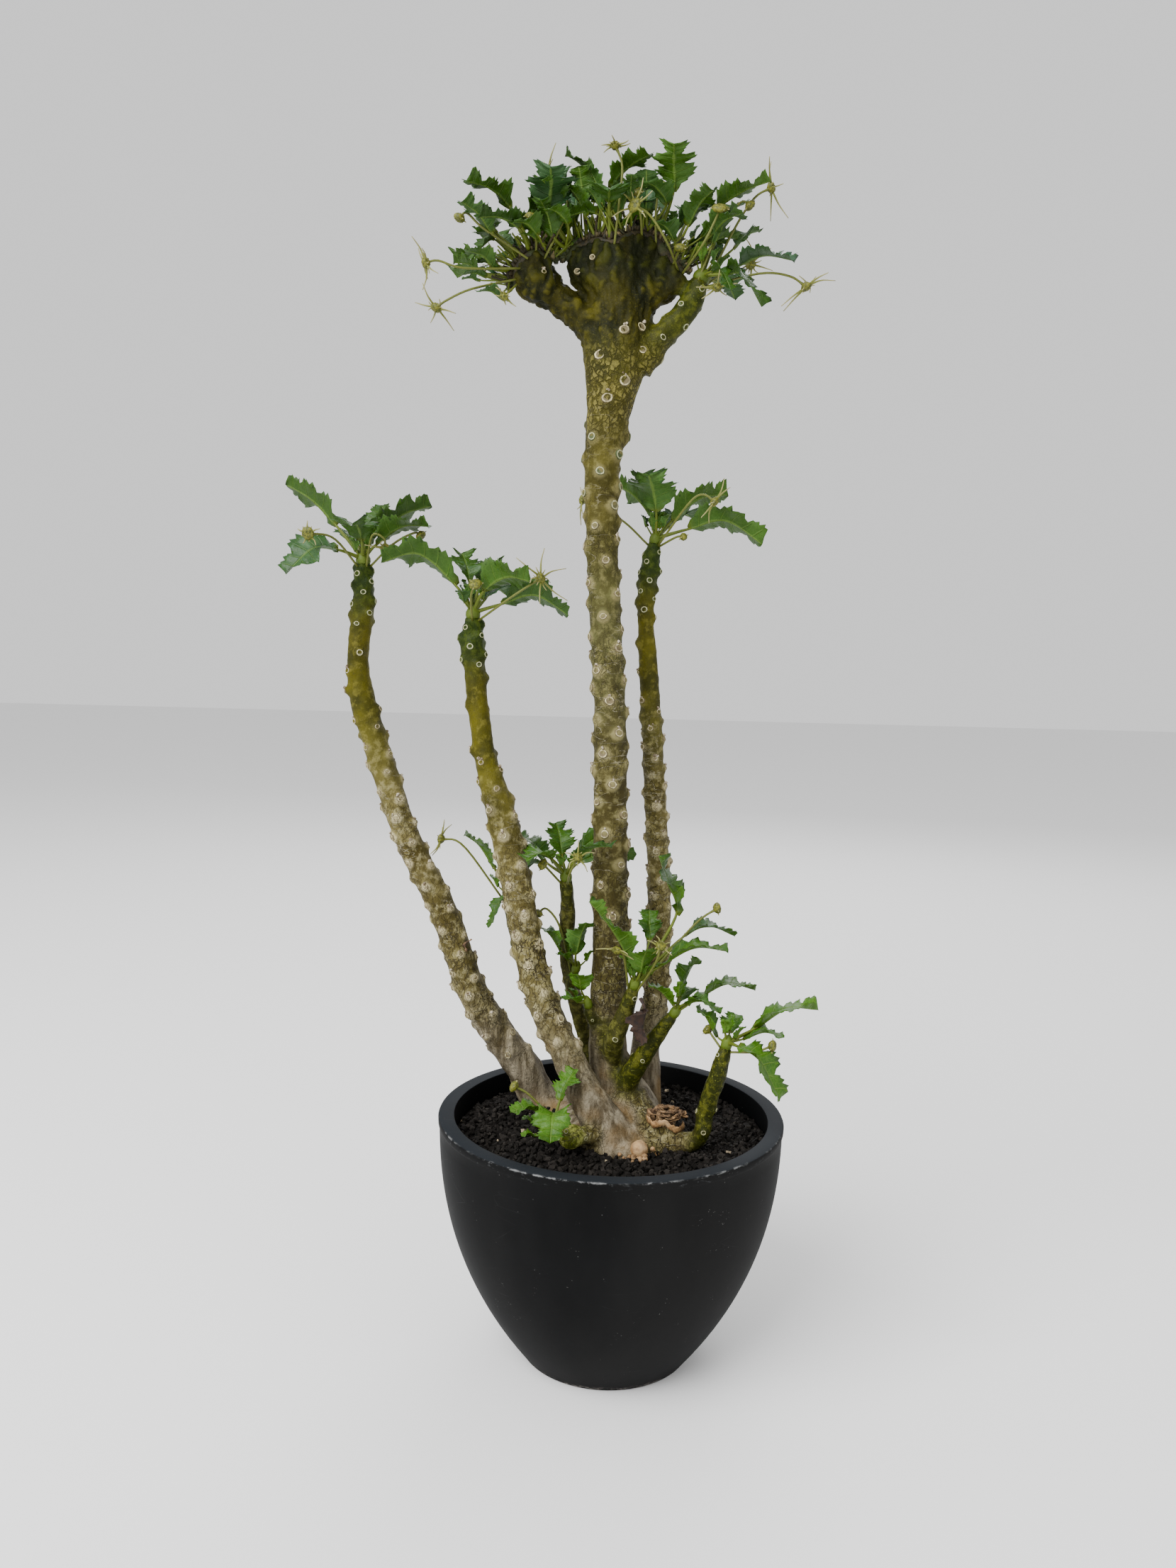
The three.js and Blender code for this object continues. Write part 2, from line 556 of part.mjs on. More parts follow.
// Leaf heads: where each sits, the way its stem points, and its leaves as
// [petiole end x, y, z, blade tip x, y, z, width, arch, roll], measured from the apex
const HEADS = {
  left_stem: {
    path: LEFT_STEM,
    leaves: [
      [-12, 3, 16, -35, 8, 34, 17, 0.08, 40], [-9, -8, 5, -29, -18, -6, 19, 0.2, -30],
      [1, -9, 9, 1, -30, 13, 18, 0.15, 0], [3, 4, 11, 27, 12, 27, 17, 0.1, -35],
      [6, -3, 8, 29, -9, 16, 17, 0.14, -15], [2, 6, 12, 6, 14, 27, 12, 0.1, 0],
      [-4, 9, 9, -12, 30, 13, 16, 0.18, 0],
    ],
  },
  centre_stem: {
    path: CENTRE_STEM,
    seed: 123,
    leaves: [
      [-7, -1, 13, -38, -8, 22, 17, 0.25, 35], [5, -6, 11, 25, -18, 15, 19, 0.15, -35],
      [12, -2, 6, 41, -6, 2, 16, 0.2, -35], [-2, 3, 15, -6, 10, 28, 15, 0.1, 0],
      [2, 6, 14, 9, 16, 26, 14, 0.1, 0], [-3, -4, 6, -5, -9, 11, 6, 0.1, 0],
      [4, 8, 8, 12, 29, 12, 15, 0.18, 0],
    ],
  },
  right_stem: {
    path: RIGHT_STEM,
    leaves: [
      [0, -5, 13, -4, -16, 27, 22, 0.1, 0], [-2, 2, 12, -17, 8, 26, 15, 0.1, 40],
      [0, 8, 15, -7, 20, 33, 18, 0.1, 0], [7, 3, 10, 32, 8, 23, 17, 0.14, -40],
      [14, -4, 6, 46, -10, 0, 18, 0.2, -35], [6, 9, 8, 20, 28, 14, 15, 0.18, 0],
    ],
  },
  back_shoot: {
    path: BACK_SHOOT,
    leaves: [
      [-6, -6, 10, -17, -19, 12, 14, 0.15, 0], [-2, 3, 10, -5, 9, 24, 14, 0.1, 0],
      [3, -9, 9, 19, -22, 19, 14, 0.12, 0], [6, 7, 7, 31, 13, 10, 9, 0.1, 70],
      [3, 9, 9, 25, 22, 20, 10, 0.1, 50], [-9, 5, 7, -22, 14, 18, 13, 0.12, 0],
    ],
  },
  side_shoot: {
    path: SIDE_SHOOT,
    leaves: [
      [-6, -5, 10, -16, -9, 22, 12, 0.1, 0], [0, -8, 9, 4, -14, 25, 12, 0.1, 0],
      [-3, -5, 6, -7, -11, 10, 6, 0.1, 0],
    ],
  },
  trunk_bud: {
    path: TRUNK_BUD,
    leaves: [[-4, -4, 3, -10, -11, 6, 10, 0.12, 0], [-3, -4, 8, -5, -10, 17, 10, 0.1, 0]],
  },
  front_shoot: {
    path: FRONT_SHOOT,
    leaves: [
      [-2, -3, 12, -19, -10, 38, 17, 0.06, 0], [6, 5, 18, 6, 10, 31, 11, 0.1, 0],
      [17, 4, 30, 10, 6, 55, 20, 0.06, 0], [10, -4, 10, 38, -10, 19, 14, 0.15, 0],
      [21, 6, 21, 43, 10, 21, 13, 0.18, 0], [2, -6, 7, 4, -13, 19, 12, 0.1, 0],
    ],
  },
  right_shoot: {
    path: RIGHT_SHOOT,
    leaves: [
      [0, -3, 5, -11, -8, 15, 11, 0.1, 0], [3, 5, 9, 10, 8, 23, 12, 0.1, 0],
      [10, 4, 6, 35, 4, 11, 13, 0.18, 0], [4, -4, 6, 19, -10, 4, 11, 0.2, 0],
      [3, 6, 4, 10, 16, 8, 9, 0.1, 0],
    ],
  },
  outer_shoot: {
    path: OUTER_SHOOT,
    leaves: [
      [-3, 4, 3, -12, 7, 15, 10, 0.1, 0], [2, 6, 4, 5, 15, 10, 10, 0.1, 0],
      [7, 2, 3, 24, 0, 5, 10, 0.15, 0], [12, 4, 7, 37, -2, 18, 18, 0.15, 0],
      [4, -8, 3, 21, -17, -16, 20, 0.2, 0],
    ],
  },
  low_shoot: {
    path: LOW_SHOOT,
    leaves: [
      [-1, -3, 9, -2, -19, 3, 16, 0.25, 0], [1, 4, 12, 7, 9, 24, 13, 0.1, 0],
      [-6, 0, 8, -19, -4, 10, 11, 0.15, 0],
    ],
  },
  thin_shoot: {
    path: THIN_SHOOT,
    leaves: [
      [-6, -2, 13, -19, -6, 29, 15, 0.12, 0], [5, 2, 10, 12, 10, 24, 12, 0.12, 0],
      [-1, -6, 2, -8, -11, -12, 8, 0.1, 0], [3, 7, 8, 12, 23, 12, 12, 0.18, 0],
    ],
  },
  crest_branch: {
    path: CREST_BRANCH,
    leaves: [
      [4, 0, 25, 26, -8, 37, 15, 0.1, 0], [9, 8, 25, 19, 19, 38, 10, 0.1, 0],
      [13, -2, 5, 36, -14, 5, 18, 0.12, 10], [9, -6, 1, 24, -16, -14, 14, 0.25, 0],
      [8, 9, 11, 2, 19, 22, 10, 0.1, 0], [14, 9, 16, 25, 19, 27, 11, 0.1, 0],
      [4, -9, 1, 11, -19, -9, 10, 0.2, 0], [7, 12, 4, 18, 32, 3, 14, 0.2, 0],
    ],
  },
};

function headAxis(path) {
  const end = path[path.length - 1];
  const before = path[path.length - 2];
  const apex = vec(end[0], end[1], end[2]);
  const along = apex.clone().sub(vec(before[0], before[1], before[2])).normalize();
  return { apex, along, radius: end[3] };
}

function apexCone(path) {
  const { apex, along, radius } = headAxis(path);
  const level = (rise, width) => [...apex.clone().addScaledVector(along, rise).toArray(), width];
  const bud = [
    level(GAP, radius * 0.9),
    level(APEX_SHOULDER, radius * 0.95),
    level(APEX_HEIGHT, radius * 0.45),
  ];
  return limb(bud, APEX_SIDES);
}

function leafHead({ path, leaves }, seed) {
  const { apex, along } = headAxis(path);
  const heart = apex.clone().addScaledVector(along, APEX_SHOULDER);
  let solid = apexCone(path);
  leaves.forEach(([bx, by, bz, tx, ty, tz, wide, arch, roll], i) => {
    const base = apex.clone().add(vec(bx, by, bz));
    const tip = apex.clone().add(vec(tx, ty, tz));
    const root = heart.clone().addScaledVector(base.clone().sub(heart).normalize(), LEAF_ROOT_REACH);
    solid = solid.add(leaf({ root, base, tip, wide, arch, roll, seed: seed + i }));
  });
  return solid;
}

// Crest leaves placed one by one: [place along the ridge, row, base x, y, z, tip x, y, z, width]
const LEFT_FAN_LEAVES = [
  [0.6, -0.4, -50, -8, 482, -67, -20, 488, 16], [0.55, -0.9, -46, -14, 472, -62, -24, 473, 14],
  [0.25, -0.5, -55, -8, 458, -67, -16, 463, 11], [0.1, -0.6, -52, -7, 447, -63, -14, 448, 8],
  [0.45, 0.8, -50, 8, 470, -61, 18, 481, 10], [0.8, -0.9, -39, -11, 471, -48, -23, 472, 11],
  [0.35, 0, -57, -2, 472, -66, -8, 462, 10],
];
const CENTRE_FAN_LEAVES = [
  [0.12, -0.5, -34, -9, 480, -34, -22, 493, 20], [0.1, 0.6, -32, 8, 496, -33, 18, 509, 10],
  [0.3, 0.3, -15, 4, 494, -29, 10, 511, 13], [0.42, -0.3, -10, -4, 492, 5, -14, 502, 14],
  [0.72, -0.3, 15, -5, 491, 14, -17, 505, 18], [0.65, -0.9, 12, -10, 484, 4, -23, 488, 12],
  [0.38, -1, -11, -13, 483, -11, -30, 483, 17], [0.18, 0.8, -25, 8, 487, -22, 17, 504, 13],
  [0.85, -0.5, 21, -7, 477, 30, -17, 488, 13], [0.85, -1, 16, -8, 471, 8, -18, 475, 10],
  [0.62, 0.8, 12, 8, 486, 4, 21, 497, 12], [0.08, -0.9, -27, -11, 475, -35, -21, 478, 9],
];

// Leaves strewn along the back of a ridge: their number, the stretch of ridge and, in degrees,
// how they lean to the side at its two ends
const LEFT_FAN_FILL = { count: 4, start: 0.05, end: 0.7, from: -70, to: -20 };
const CENTRE_FAN_FILL = { count: 7, start: 0.12, end: 0.94, from: -8, to: 36 };
const LEAF_LEAN = [15, 75];
const LEAF_LEAN_CHANGE = 10;
const PETIOLE_REACH = [14, 22];
const BLADE_REACH = [15, 22];
const BLADE_WIDTH = [11, 16];

function crestHead(fan, leaves, fill, seed) {
  let solid = ridgeSolid(fan);
  leaves.forEach(([along, row, bx, by, bz, tx, ty, tz, wide], i) => {
    const root = ridgePoint(fan, along, row);
    solid = solid.add(leaf({ root, base: vec(bx, by, bz), tip: vec(tx, ty, tz), wide, seed: seed + i }));
  });
  const random = seeded(seed);
  for (let i = 0; i < fill.count; i += 1) {
    const along = mix(fill.start, fill.end, (i + random()) / fill.count);
    const row = mix(0.3, 1, random());
    const root = ridgePoint(fan, along, row);
    const change = LEAF_LEAN_CHANGE * mix(-1, 1, random());
    const lean = THREE.MathUtils.degToRad(mix(fill.from, fill.to, along) + change);
    const back = THREE.MathUtils.degToRad(mix(...LEAF_LEAN, random()));
    const away = vec(Math.sin(lean) * Math.cos(back), Math.sin(back), Math.cos(lean) * Math.cos(back));
    const base = root.clone().addScaledVector(away, mix(...PETIOLE_REACH, random()));
    const reach = vec(away.x * 1.4, away.y * 1.5 + 0.15, away.z * 0.7).normalize();
    const tip = base.clone().addScaledVector(reach, mix(...BLADE_REACH, random()));
    const wide = mix(...BLADE_WIDTH, random());
    solid = solid.add(leaf({ root, base, tip, wide, seed: seed + 50 + i }));
  }
  return solid;
}

// Bloom: a slender peduncle, a fleshy disc and thin arms round it
function bloom({ stalk, face, disc, arms, reach, seed }) {
  const random = seeded(seed * 31 + 5);
  const path = stalk.map((p) => [...p, PEDUNCLE_RADIUS]);
  const peduncle = limb(path, 3);
  const centre = vec(...stalk[stalk.length - 1]);
  const out = vec(...face).normalize();
  const across = vec(0, 0, 1).cross(out);
  if (across.length() < 0.1) across.set(1, 0, 0);
  across.normalize();
  const up = out.clone().cross(across);
  const points = [
    centre.clone().addScaledVector(out, ARM_HALF_THICKNESS * 3),
    centre.clone().addScaledVector(out, -ARM_HALF_THICKNESS * 4),
  ];
  const corners = 2 * arms;
  for (let i = 0; i < corners; i += 1) {
    const angle = (Math.PI * i) / arms + BLOOM_TURN;
    const tip = i % 2 === 0 && reach > 0;
    const radius = tip ? disc + reach * mix(0.7, 1.1, random()) : disc * ARM_ROOT;
    const bend = tip ? reach * mix(-0.35, 0.45, random()) : 0;
    const half = tip ? ARM_HALF_THICKNESS * 0.8 : ARM_HALF_THICKNESS * 1.2;
    const p = centre
      .clone()
      .addScaledVector(across, Math.cos(angle) * radius)
      .addScaledVector(up, Math.sin(angle) * radius)
      .addScaledVector(out, bend);
    points.push(p.clone().addScaledVector(out, half), p.clone().addScaledVector(out, -half));
  }
  const triangles = [];
  for (let i = 0; i < corners; i += 1) {
    const a = 2 + 2 * i;
    const b = 2 + 2 * ((i + 1) % corners);
    triangles.push([0, a, b], [1, b + 1, a + 1], [a, a + 1, b + 1], [a, b + 1, b]);
  }
  return peduncle.add(solidOf(points, triangles));
}

// Blooms: what each grows on, its peduncle's points, the way its disc faces and its size.
// On a fan, place and side set the root, and points are in the part's frame; on a head they are
// measured from the apex.
const STAR = { disc: 2.3, arms: 6 };
const BUD = { disc: 2.4, arms: 3, reach: 0 };
const FAN_BLOOMS = {
  left_fan: {
    fan: LEFT_FAN,
    blooms: [
      {
        place: 0.25, side: -1, points: [[-68, -15, 456], [-78, -17, 458], [-83, -17, 457]],
        face: [-1, -0.3, -0.3], ...STAR, reach: 10,
      },
      {
        place: 0.1, side: -1, points: [[-65, -12, 449], [-75, -13, 444], [-79, -13, 441]],
        face: [-0.5, -0.3, -1], ...STAR, reach: 9,
      },
      {
        place: 0.45, side: -1, points: [[-61, -7, 474], [-68, -7, 480], [-71, -7, 478]],
        face: [-0.5, 0, -1], ...BUD,
      },
      {
        place: 0.85, side: -1, points: [[-28, -7, 481], [-30, -6, 493], [-36, -6, 496]],
        face: [-1, 0, 0.2], ...STAR, reach: 9,
      },
      { place: 0.65, side: -1, points: [[-40, -8, 470], [-42, -11, 478]], face: [0, -0.5, 1], ...BUD },
      {
        place: 0.05, side: -1, points: [[-52, -13, 446]],
        face: [-0.5, -0.5, -1], disc: 1.8, arms: 5, reach: 4,
      },
      {
        place: 0.5, side: 1, points: [[-52, 22, 468], [-60, 29, 472]],
        face: [-0.6, 1, 0], ...STAR, reach: 8,
      },
    ],
  },
  centre_fan: {
    fan: CENTRE_FAN,
    blooms: [
      {
        place: 0.42, side: -1, points: [[-7, -13, 482], [-6, -13, 497], [-9, -13, 505]],
        face: [0, 0, 1], disc: 2, arms: 6, reach: 5,
      },
      {
        place: 0.95, side: -1, points: [[12, -19, 467], [5, -21, 476], [-1, -22, 479]],
        face: [-0.6, -0.7, 0.2], disc: 3, arms: 6, reach: 8,
      },
      {
        place: 0.75, side: -1, points: [[8, -8, 481], [9, -9, 492]],
        face: [0, -0.5, 1], disc: 3.4, arms: 4, reach: 0,
      },
      { place: 0.62, side: -1, points: [[2, -11, 478], [0, -15, 487]], face: [0, -0.5, 1], ...BUD },
      { place: 0.9, side: -1, points: [[18, -12, 467]], face: [0, -0.5, 1], ...BUD },
      {
        place: 0.98, side: -1, points: [[27, -14, 468], [31, -15, 476], [33, -16, 481]],
        face: [0, -0.6, 1], disc: 3.4, arms: 4, reach: 0,
      },
      {
        place: 0.35, side: 1, points: [[-3, 22, 480], [-6, 32, 490]],
        face: [-0.2, 1, 0.4], ...STAR, reach: 8,
      },
      { place: 0.8, side: 1, points: [[12, 18, 474], [18, 28, 480]], face: [0.3, 1, 0], ...BUD },
    ],
  },
};
const HEAD_BLOOMS = {
  crest_branch: [
    { points: [[7, -3, 19], [15, -2, 30], [19, -2, 29]], face: [0.7, 0, -0.7], ...BUD },
    { points: [[13, 0, 20], [21, 1, 33], [28, 3, 38]], face: [1, 0, 0.3], ...STAR, reach: 12 },
    { points: [[23, -7, 1], [35, -8, 0], [42, -8, -4]], face: [0.6, 0, -0.8], ...STAR, reach: 12 },
    { points: [[2, -7, -5], [6, -11, -6]], face: [0, -0.3, -1], disc: 2, arms: 5, reach: 7 },
    { points: [[15, 12, 10], [23, 22, 14]], face: [0.5, 1, 0], ...STAR, reach: 9 },
  ],
  left_stem: [
    { points: [[-10, -13, 9], [-19, -20, 10]], face: [-0.3, -1, -0.3], disc: 2.8, arms: 5, reach: 3 },
    { points: [[13, -3, 8], [22, -3, 13], [25, -3, 12]], face: [0.7, 0, -0.7], ...BUD },
    {
      points: [[5, -7, 11], [10, -8, 10], [11, -9, 6]],
      face: [0, -0.2, -1], disc: 2, arms: 5, reach: 7,
    },
  ],
  centre_stem: [
    { points: [[0, -10, 8], [2, -13, 13]], face: [0, -0.7, 0.7], disc: 2.8, arms: 3, reach: 0 },
    { points: [[17, -14, 8], [29, -15, 16]], face: [0.7, -0.5, 0.2], ...STAR, reach: 11 },
  ],
  right_stem: [
    { points: [[13, -14, 15], [19, -15, 19], [24, -16, 16]], face: [0.8, 0, -0.6], ...STAR, reach: 9 },
    { points: [[-15, 3, 10], [-32, 2, 18]], face: [-1, 0, 0.2], ...STAR, reach: 8 },
    { points: [[9, -6, 2], [12, -7, 2]], face: [0.5, -0.2, -1], disc: 1.6, arms: 3, reach: 0 },
  ],
  back_shoot: [
    { points: [[2, -17, 6], [5, -20, 13]], face: [0, -1, 0.3], disc: 2, arms: 5, reach: 5 },
    { points: [[-8, -8, 6], [-10, -10, 8]], face: [-0.5, -0.5, 0.3], ...BUD },
  ],
  side_shoot: [{ points: [[-7, -5, 20], [-13, -4, 28], [-17, -4, 26]], face: [-0.4, 0, -1], ...BUD }],
  thin_shoot: [{ points: [[-20, -4, 23], [-30, -4, 26]], face: [-1, 0, 0.2], ...STAR, reach: 8 }],
  front_shoot: [
    { points: [[-5, -9, 15], [-8, -12, 18]], face: [-0.3, -0.5, -1], disc: 2, arms: 5, reach: 6 },
    { points: [[8, -9, 12], [10, -11, 20]], face: [0.2, -0.6, 0.8], disc: 2.2, arms: 5, reach: 4 },
    { points: [[24, 1, 26], [34, 1, 34]], face: [1, 0, 0.2], ...BUD },
  ],
  outer_shoot: [
    { points: [[11, -6, 0], [18, -7, 3]], face: [1, -0.4, 0], ...BUD },
    { points: [[-7, 7, 5]], face: [-0.6, 0.3, 0.5], ...BUD },
  ],
  low_shoot: [{ points: [[-11, 3, 14], [-18, 3, 18]], face: [-1, 0, 0.5], ...BUD }],
};

function fanFoot({ line, depth }, place, side) {
  const curve = fanCurve(line);
  const along = curve.getTangent(place);
  const p = curve.getPoint(place).add(vec(along.z, 0, -along.x).multiplyScalar(BLOOM_FOOT_BELOW));
  const half = 2 * Math.sqrt(place - place * place);
  return [p.x, fanSway(p.x, 1) + side * (half * depth + FAN_FOOT_CLEAR), p.z];
}

function headFoot(path, towards) {
  const { apex, along, radius } = headAxis(path);
  const out = vec(...towards).projectOnPlane(along).normalize();
  return apex
    .addScaledVector(along, -BLOOM_FOOT_BELOW)
    .addScaledVector(out, radius + BLOOM_FOOT_CLEAR)
    .toArray();
}

const WITHERED_LEAF = { root: [10.6, -17.6, 162], base: [12.5, -19.5, 158], tip: [11, -20, 142], wide: 9 };

// Finishes
const PLASTIC = { color: 0x26292c, roughness: 0.62 };
const GRIT = { color: 0x2a221c, roughness: 0.95 };
const BARK = { color: 0x8d8668, roughness: 0.8 };
const LEAF = { color: 0x3f7a2e, roughness: 0.5 };
const BLOOM = { color: 0xa9ad4a, roughness: 0.6 };
const DRY_LEAF = { color: 0x5a4426, roughness: 0.9 };

addPiece('pot', makePot(), PLASTIC);
addPiece('soil', makeSoil(), GRIT);
addPiece('plant_body', makePlantBody(), BARK);
Object.entries(HEADS).forEach(([name, head], i) => {
  addPiece(`leaf_head_${name}`, leafHead(head, head.seed ?? 100 + 20 * i), LEAF);
});
addPiece('leaf_head_left_fan', crestHead(LEFT_FAN, LEFT_FAN_LEAVES, LEFT_FAN_FILL, 400), LEAF);
addPiece('leaf_head_centre_fan', crestHead(CENTRE_FAN, CENTRE_FAN_LEAVES, CENTRE_FAN_FILL, 500), LEAF);
Object.entries(FAN_BLOOMS).forEach(([name, { fan, blooms }], k) => {
  blooms.forEach(({ place, side, points, ...form }, i) => {
    const foot = fanFoot(fan[fan.length - 1], place, side);
    const solid = bloom({ stalk: [foot, ...points], ...form, seed: 10 * k + i });
    addPiece(`bloom_${name}_${i + 1}`, solid, BLOOM);
  });
});
Object.entries(HEAD_BLOOMS).forEach(([name, blooms], k) => {
  const { path } = HEADS[name];
  const apex = path[path.length - 1];
  blooms.forEach(({ points, ...form }, i) => {
    const stalk = points.map((p) => p.map((value, axis) => value + apex[axis]));
    const foot = headFoot(path, points[0]);
    const solid = bloom({ stalk: [foot, ...stalk], ...form, seed: 100 + 10 * k + i });
    addPiece(`bloom_${name}_${i + 1}`, solid, BLOOM);
  });
});
const { root, base, tip, wide } = WITHERED_LEAF;
const withered = leaf({ root: vec(...root), base: vec(...base), tip: vec(...tip), wide, seed: 3 });
addPiece('withered_leaf', withered, DRY_LEAF);

export default group;
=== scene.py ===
"""Dresses the potted crested dorstenia: the black pot, its gritty soil, the scarred stems with their
crested fans, the lobed leaves and the small star-shaped blooms. Shapes are worked out in
millimetres, in the frame of the solids, and are turned into metres when a piece is made."""
import math

import bpy
import numpy as np
from mathutils import Matrix, Vector, noise
from mathutils.kdtree import KDTree


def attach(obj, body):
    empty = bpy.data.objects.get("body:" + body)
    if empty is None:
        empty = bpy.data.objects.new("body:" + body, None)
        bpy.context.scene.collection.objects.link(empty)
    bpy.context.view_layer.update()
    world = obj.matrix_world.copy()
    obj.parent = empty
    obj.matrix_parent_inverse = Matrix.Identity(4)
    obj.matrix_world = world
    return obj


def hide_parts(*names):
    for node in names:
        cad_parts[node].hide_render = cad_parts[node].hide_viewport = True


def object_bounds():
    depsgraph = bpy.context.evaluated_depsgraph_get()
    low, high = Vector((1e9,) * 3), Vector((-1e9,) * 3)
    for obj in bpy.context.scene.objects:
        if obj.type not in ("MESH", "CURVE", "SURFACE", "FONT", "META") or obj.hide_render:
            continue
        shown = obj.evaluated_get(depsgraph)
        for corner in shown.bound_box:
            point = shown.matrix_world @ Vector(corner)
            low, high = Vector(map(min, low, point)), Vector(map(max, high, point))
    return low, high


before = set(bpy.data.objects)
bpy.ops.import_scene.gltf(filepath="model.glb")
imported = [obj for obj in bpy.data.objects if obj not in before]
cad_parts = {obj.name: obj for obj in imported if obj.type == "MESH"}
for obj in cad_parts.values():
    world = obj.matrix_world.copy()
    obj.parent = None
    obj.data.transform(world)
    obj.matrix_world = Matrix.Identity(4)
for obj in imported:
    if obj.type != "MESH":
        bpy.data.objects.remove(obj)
solid_low, solid_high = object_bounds()

MM = 0.001
# A whole turn, near enough for a random angle
TURN = 6.28
# No tip of a leaf or bloom reaches past the box of the solids
BOX_LOW = np.array(solid_low) + 0.05 * MM
BOX_HIGH = np.array(solid_high) - 0.05 * MM

# Pot
POT_HEIGHT = 106
POT_RIM_RADIUS = 75
POT_BASE_RADIUS = 37.6
POT_BULGE = 2.3
POT_WALL = 3
POT_FLOOR = 3
POT_RIM_WIDTH = 7
POT_LIP_HEIGHT = 3.5
POT_LIP_STEP = 0.6
POT_RIM_DEPTH = 12
POT_SIDES = 160
DRAIN_HOLES = 5
DRAIN_RADIUS = 4
DRAIN_CIRCLE = 22

# Soil
SOIL_LEVEL = 97
SOIL_MOUND = 1.2
SOIL_GAP = 0.3
SOIL_TOP_RADIUS = POT_RIM_RADIUS - POT_RIM_WIDTH - 2 * SOIL_GAP
BED_LEVELS = (POT_FLOOR, POT_FLOOR + 3, 20, 45, 70, 90)
BED_SIDES = 128
GRAIN_COUNT = 4200

# Fans
FAN_WAVE = 2.6
FAN_WAVE_LENGTH = 5.2
RIDGE_HEIGHT = 3.4
RIDGE_INSET = 0.8
RIDGE_GAP = 0.6

# Leaves
BLADE_LEAN = 0.8
BLADE_FULLNESS = 0.7
BLADE_CUP = 0.25
LEAF_ARCH = 0.12
# A leaf's map holds this many veins over its length
LEAF_CHART = 16
LOBE_VALLEY = 0.35
LOBE_PEAK = 0.95
LOBE_END = 0.25
LOBE_SWING = 0.14
LOBE_FOLLOW = 0.4
FULL_LEAF_WIDTH = 13
# Where the points of a blade's ring lie, from one edge across the midrib to the other
ACROSS = np.array([-1, -0.72, -0.42, -0.13, 0, 0.13, 0.42, 0.72, 1])
# The teeth of one lobe, from one valley to the next: how far along, how far out, how far forward
TEETH = (
    (0.06, -0.25, 0.0), (0.17, 0.75, 0.15), (0.27, -0.3, 0.0), (0.38, 1.0, 0.35), (0.47, -0.25, 0.1),
    (0.6, 1.35, 0.8), (0.69, -0.35, 0.2), (0.8, 0.85, 0.7), (0.9, -0.35, 0.2),
)
APEX_SHOULDER = 2.2
# The bud at an apex: height and share of the stem's radius
APEX_PROFILE = ((-0.8, 0.8), (0.8, 0.9), (2.2, 0.88), (3.6, 0.66), (4.6, 0.42), (5.2, 0.18))
FAN_LEAF_TONE = 0.3
# What each point of a leaf carries: its lightness, how far it is stalk, underside and blue
LEAF_NUMBERS = ("leaf_tone", "stalk", "underside", "blue_bloom")

# Blooms
BLOOM_FOOT_BELOW = 1.6
BLOOM_TURN = 0.3
# A bloom's disc: share of its radius, and height
DISC_PROFILE = ((0.25, -1.7), (0.6, -1.35), (0.92, -0.6), (1.0, 0.15), (0.9, 0.75), (0.6, 1.2), (0.25, 1.4))

# Setting, in metres, watts and degrees. Lamps: where each is, what it points at, its power and size
FLOOR_SIZE = 14
FLOOR_TONE = (0.82, 0.82, 0.82)
LAMPS = (
    ("window_light", (-0.9, -1.0, 1.35), (0, 0, 0.25), 64, 1.3),
    ("fill_light", (1.1, -1.2, 0.7), (0, 0, 0.25), 6, 1.2),
    ("back_light", (0.3, 1.3, 1.2), (0, 0, 0.3), 12, 1.0),
)
CAMERA_SPOT = (-0.0135, -0.512, 0.2983)
CAMERA_LENS = 27.667
CAMERA_DOWN = 5.44
CAMERA_TILT = 1.43

# Stem centrelines, [x, y, z, radius]
TRUNK = [
    [9, 5, 98, 16], [7, 6, 106, 12.5], [2, 6, 121, 10.2], [-2, 6, 134, 8.6], [-2, 5, 180, 8],
    [-3, 4, 212, 7.6], [-5, 3, 280, 7], [-9, 2, 335, 6.8], [-11, 1, 378, 7.4], [-9, 0, 402, 9.4],
]
LEFT_STEM = [
    [-8, 12, 90, 9], [-29, 31, 96, 9.2], [-40, 28, 115, 8.2], [-50, 26, 129, 7.8],
    [-64, 22, 153, 7], [-76, 18, 188, 6.3], [-92, 15, 221, 5.9], [-103, 13, 253, 5.7],
    [-112, 11, 283, 5.7], [-114, 10, 300, 4.9], [-112, 10, 322, 4.9], [-112, 10, 341, 3.6],
]
CENTRE_STEM = [
    [4, -12, 92, 9], [0, -18, 102, 9], [-12, -13, 119, 7.9], [-21, -9, 136, 7],
    [-31, -7, 157, 6.7], [-37, -5, 177, 6.7], [-43, -3, 206, 6.7], [-50, -1, 235, 6.6],
    [-58, 1, 262, 4.9], [-63, 3, 297, 4.9], [-64, 3, 306, 5.4], [-64, 3, 319, 3.5],
]
RIGHT_STEM = [
    [14, 18, 88, 8], [16, 22, 100, 7.8], [16, 26, 130, 6.8], [20, 27, 153, 5.9],
    [20, 27, 198, 5.5], [17, 25, 237, 5.1], [13, 23, 287, 4.7], [10, 22, 322, 3.8],
    [11, 22, 341, 4.5], [13, 22, 354, 3],
]
BACK_SHOOT = [
    [-1, 13, 102, 6], [-8, 22, 120, 4.3], [-15, 18, 144, 3.7], [-21, 13, 170, 3.5],
    [-21, 9, 192, 3.7], [-22, 6, 207, 3],
]
THIN_SHOOT = [
    [-6, 15, 101, 5], [-20, 26, 122, 3.9], [-38, 25, 156, 3.2], [-46, 22, 186, 3.2],
    [-48, 21, 196, 2.8],
]
SIDE_SHOOT = [[-16, 17, 149, 2.8], [-19, 12, 158, 2.7], [-17, 9, 166, 2.3]]
TRUNK_BUD = [[-4, 4, 139, 3.4], [-10, 0, 149, 2.8], [-11, -1, 153, 2.3]]
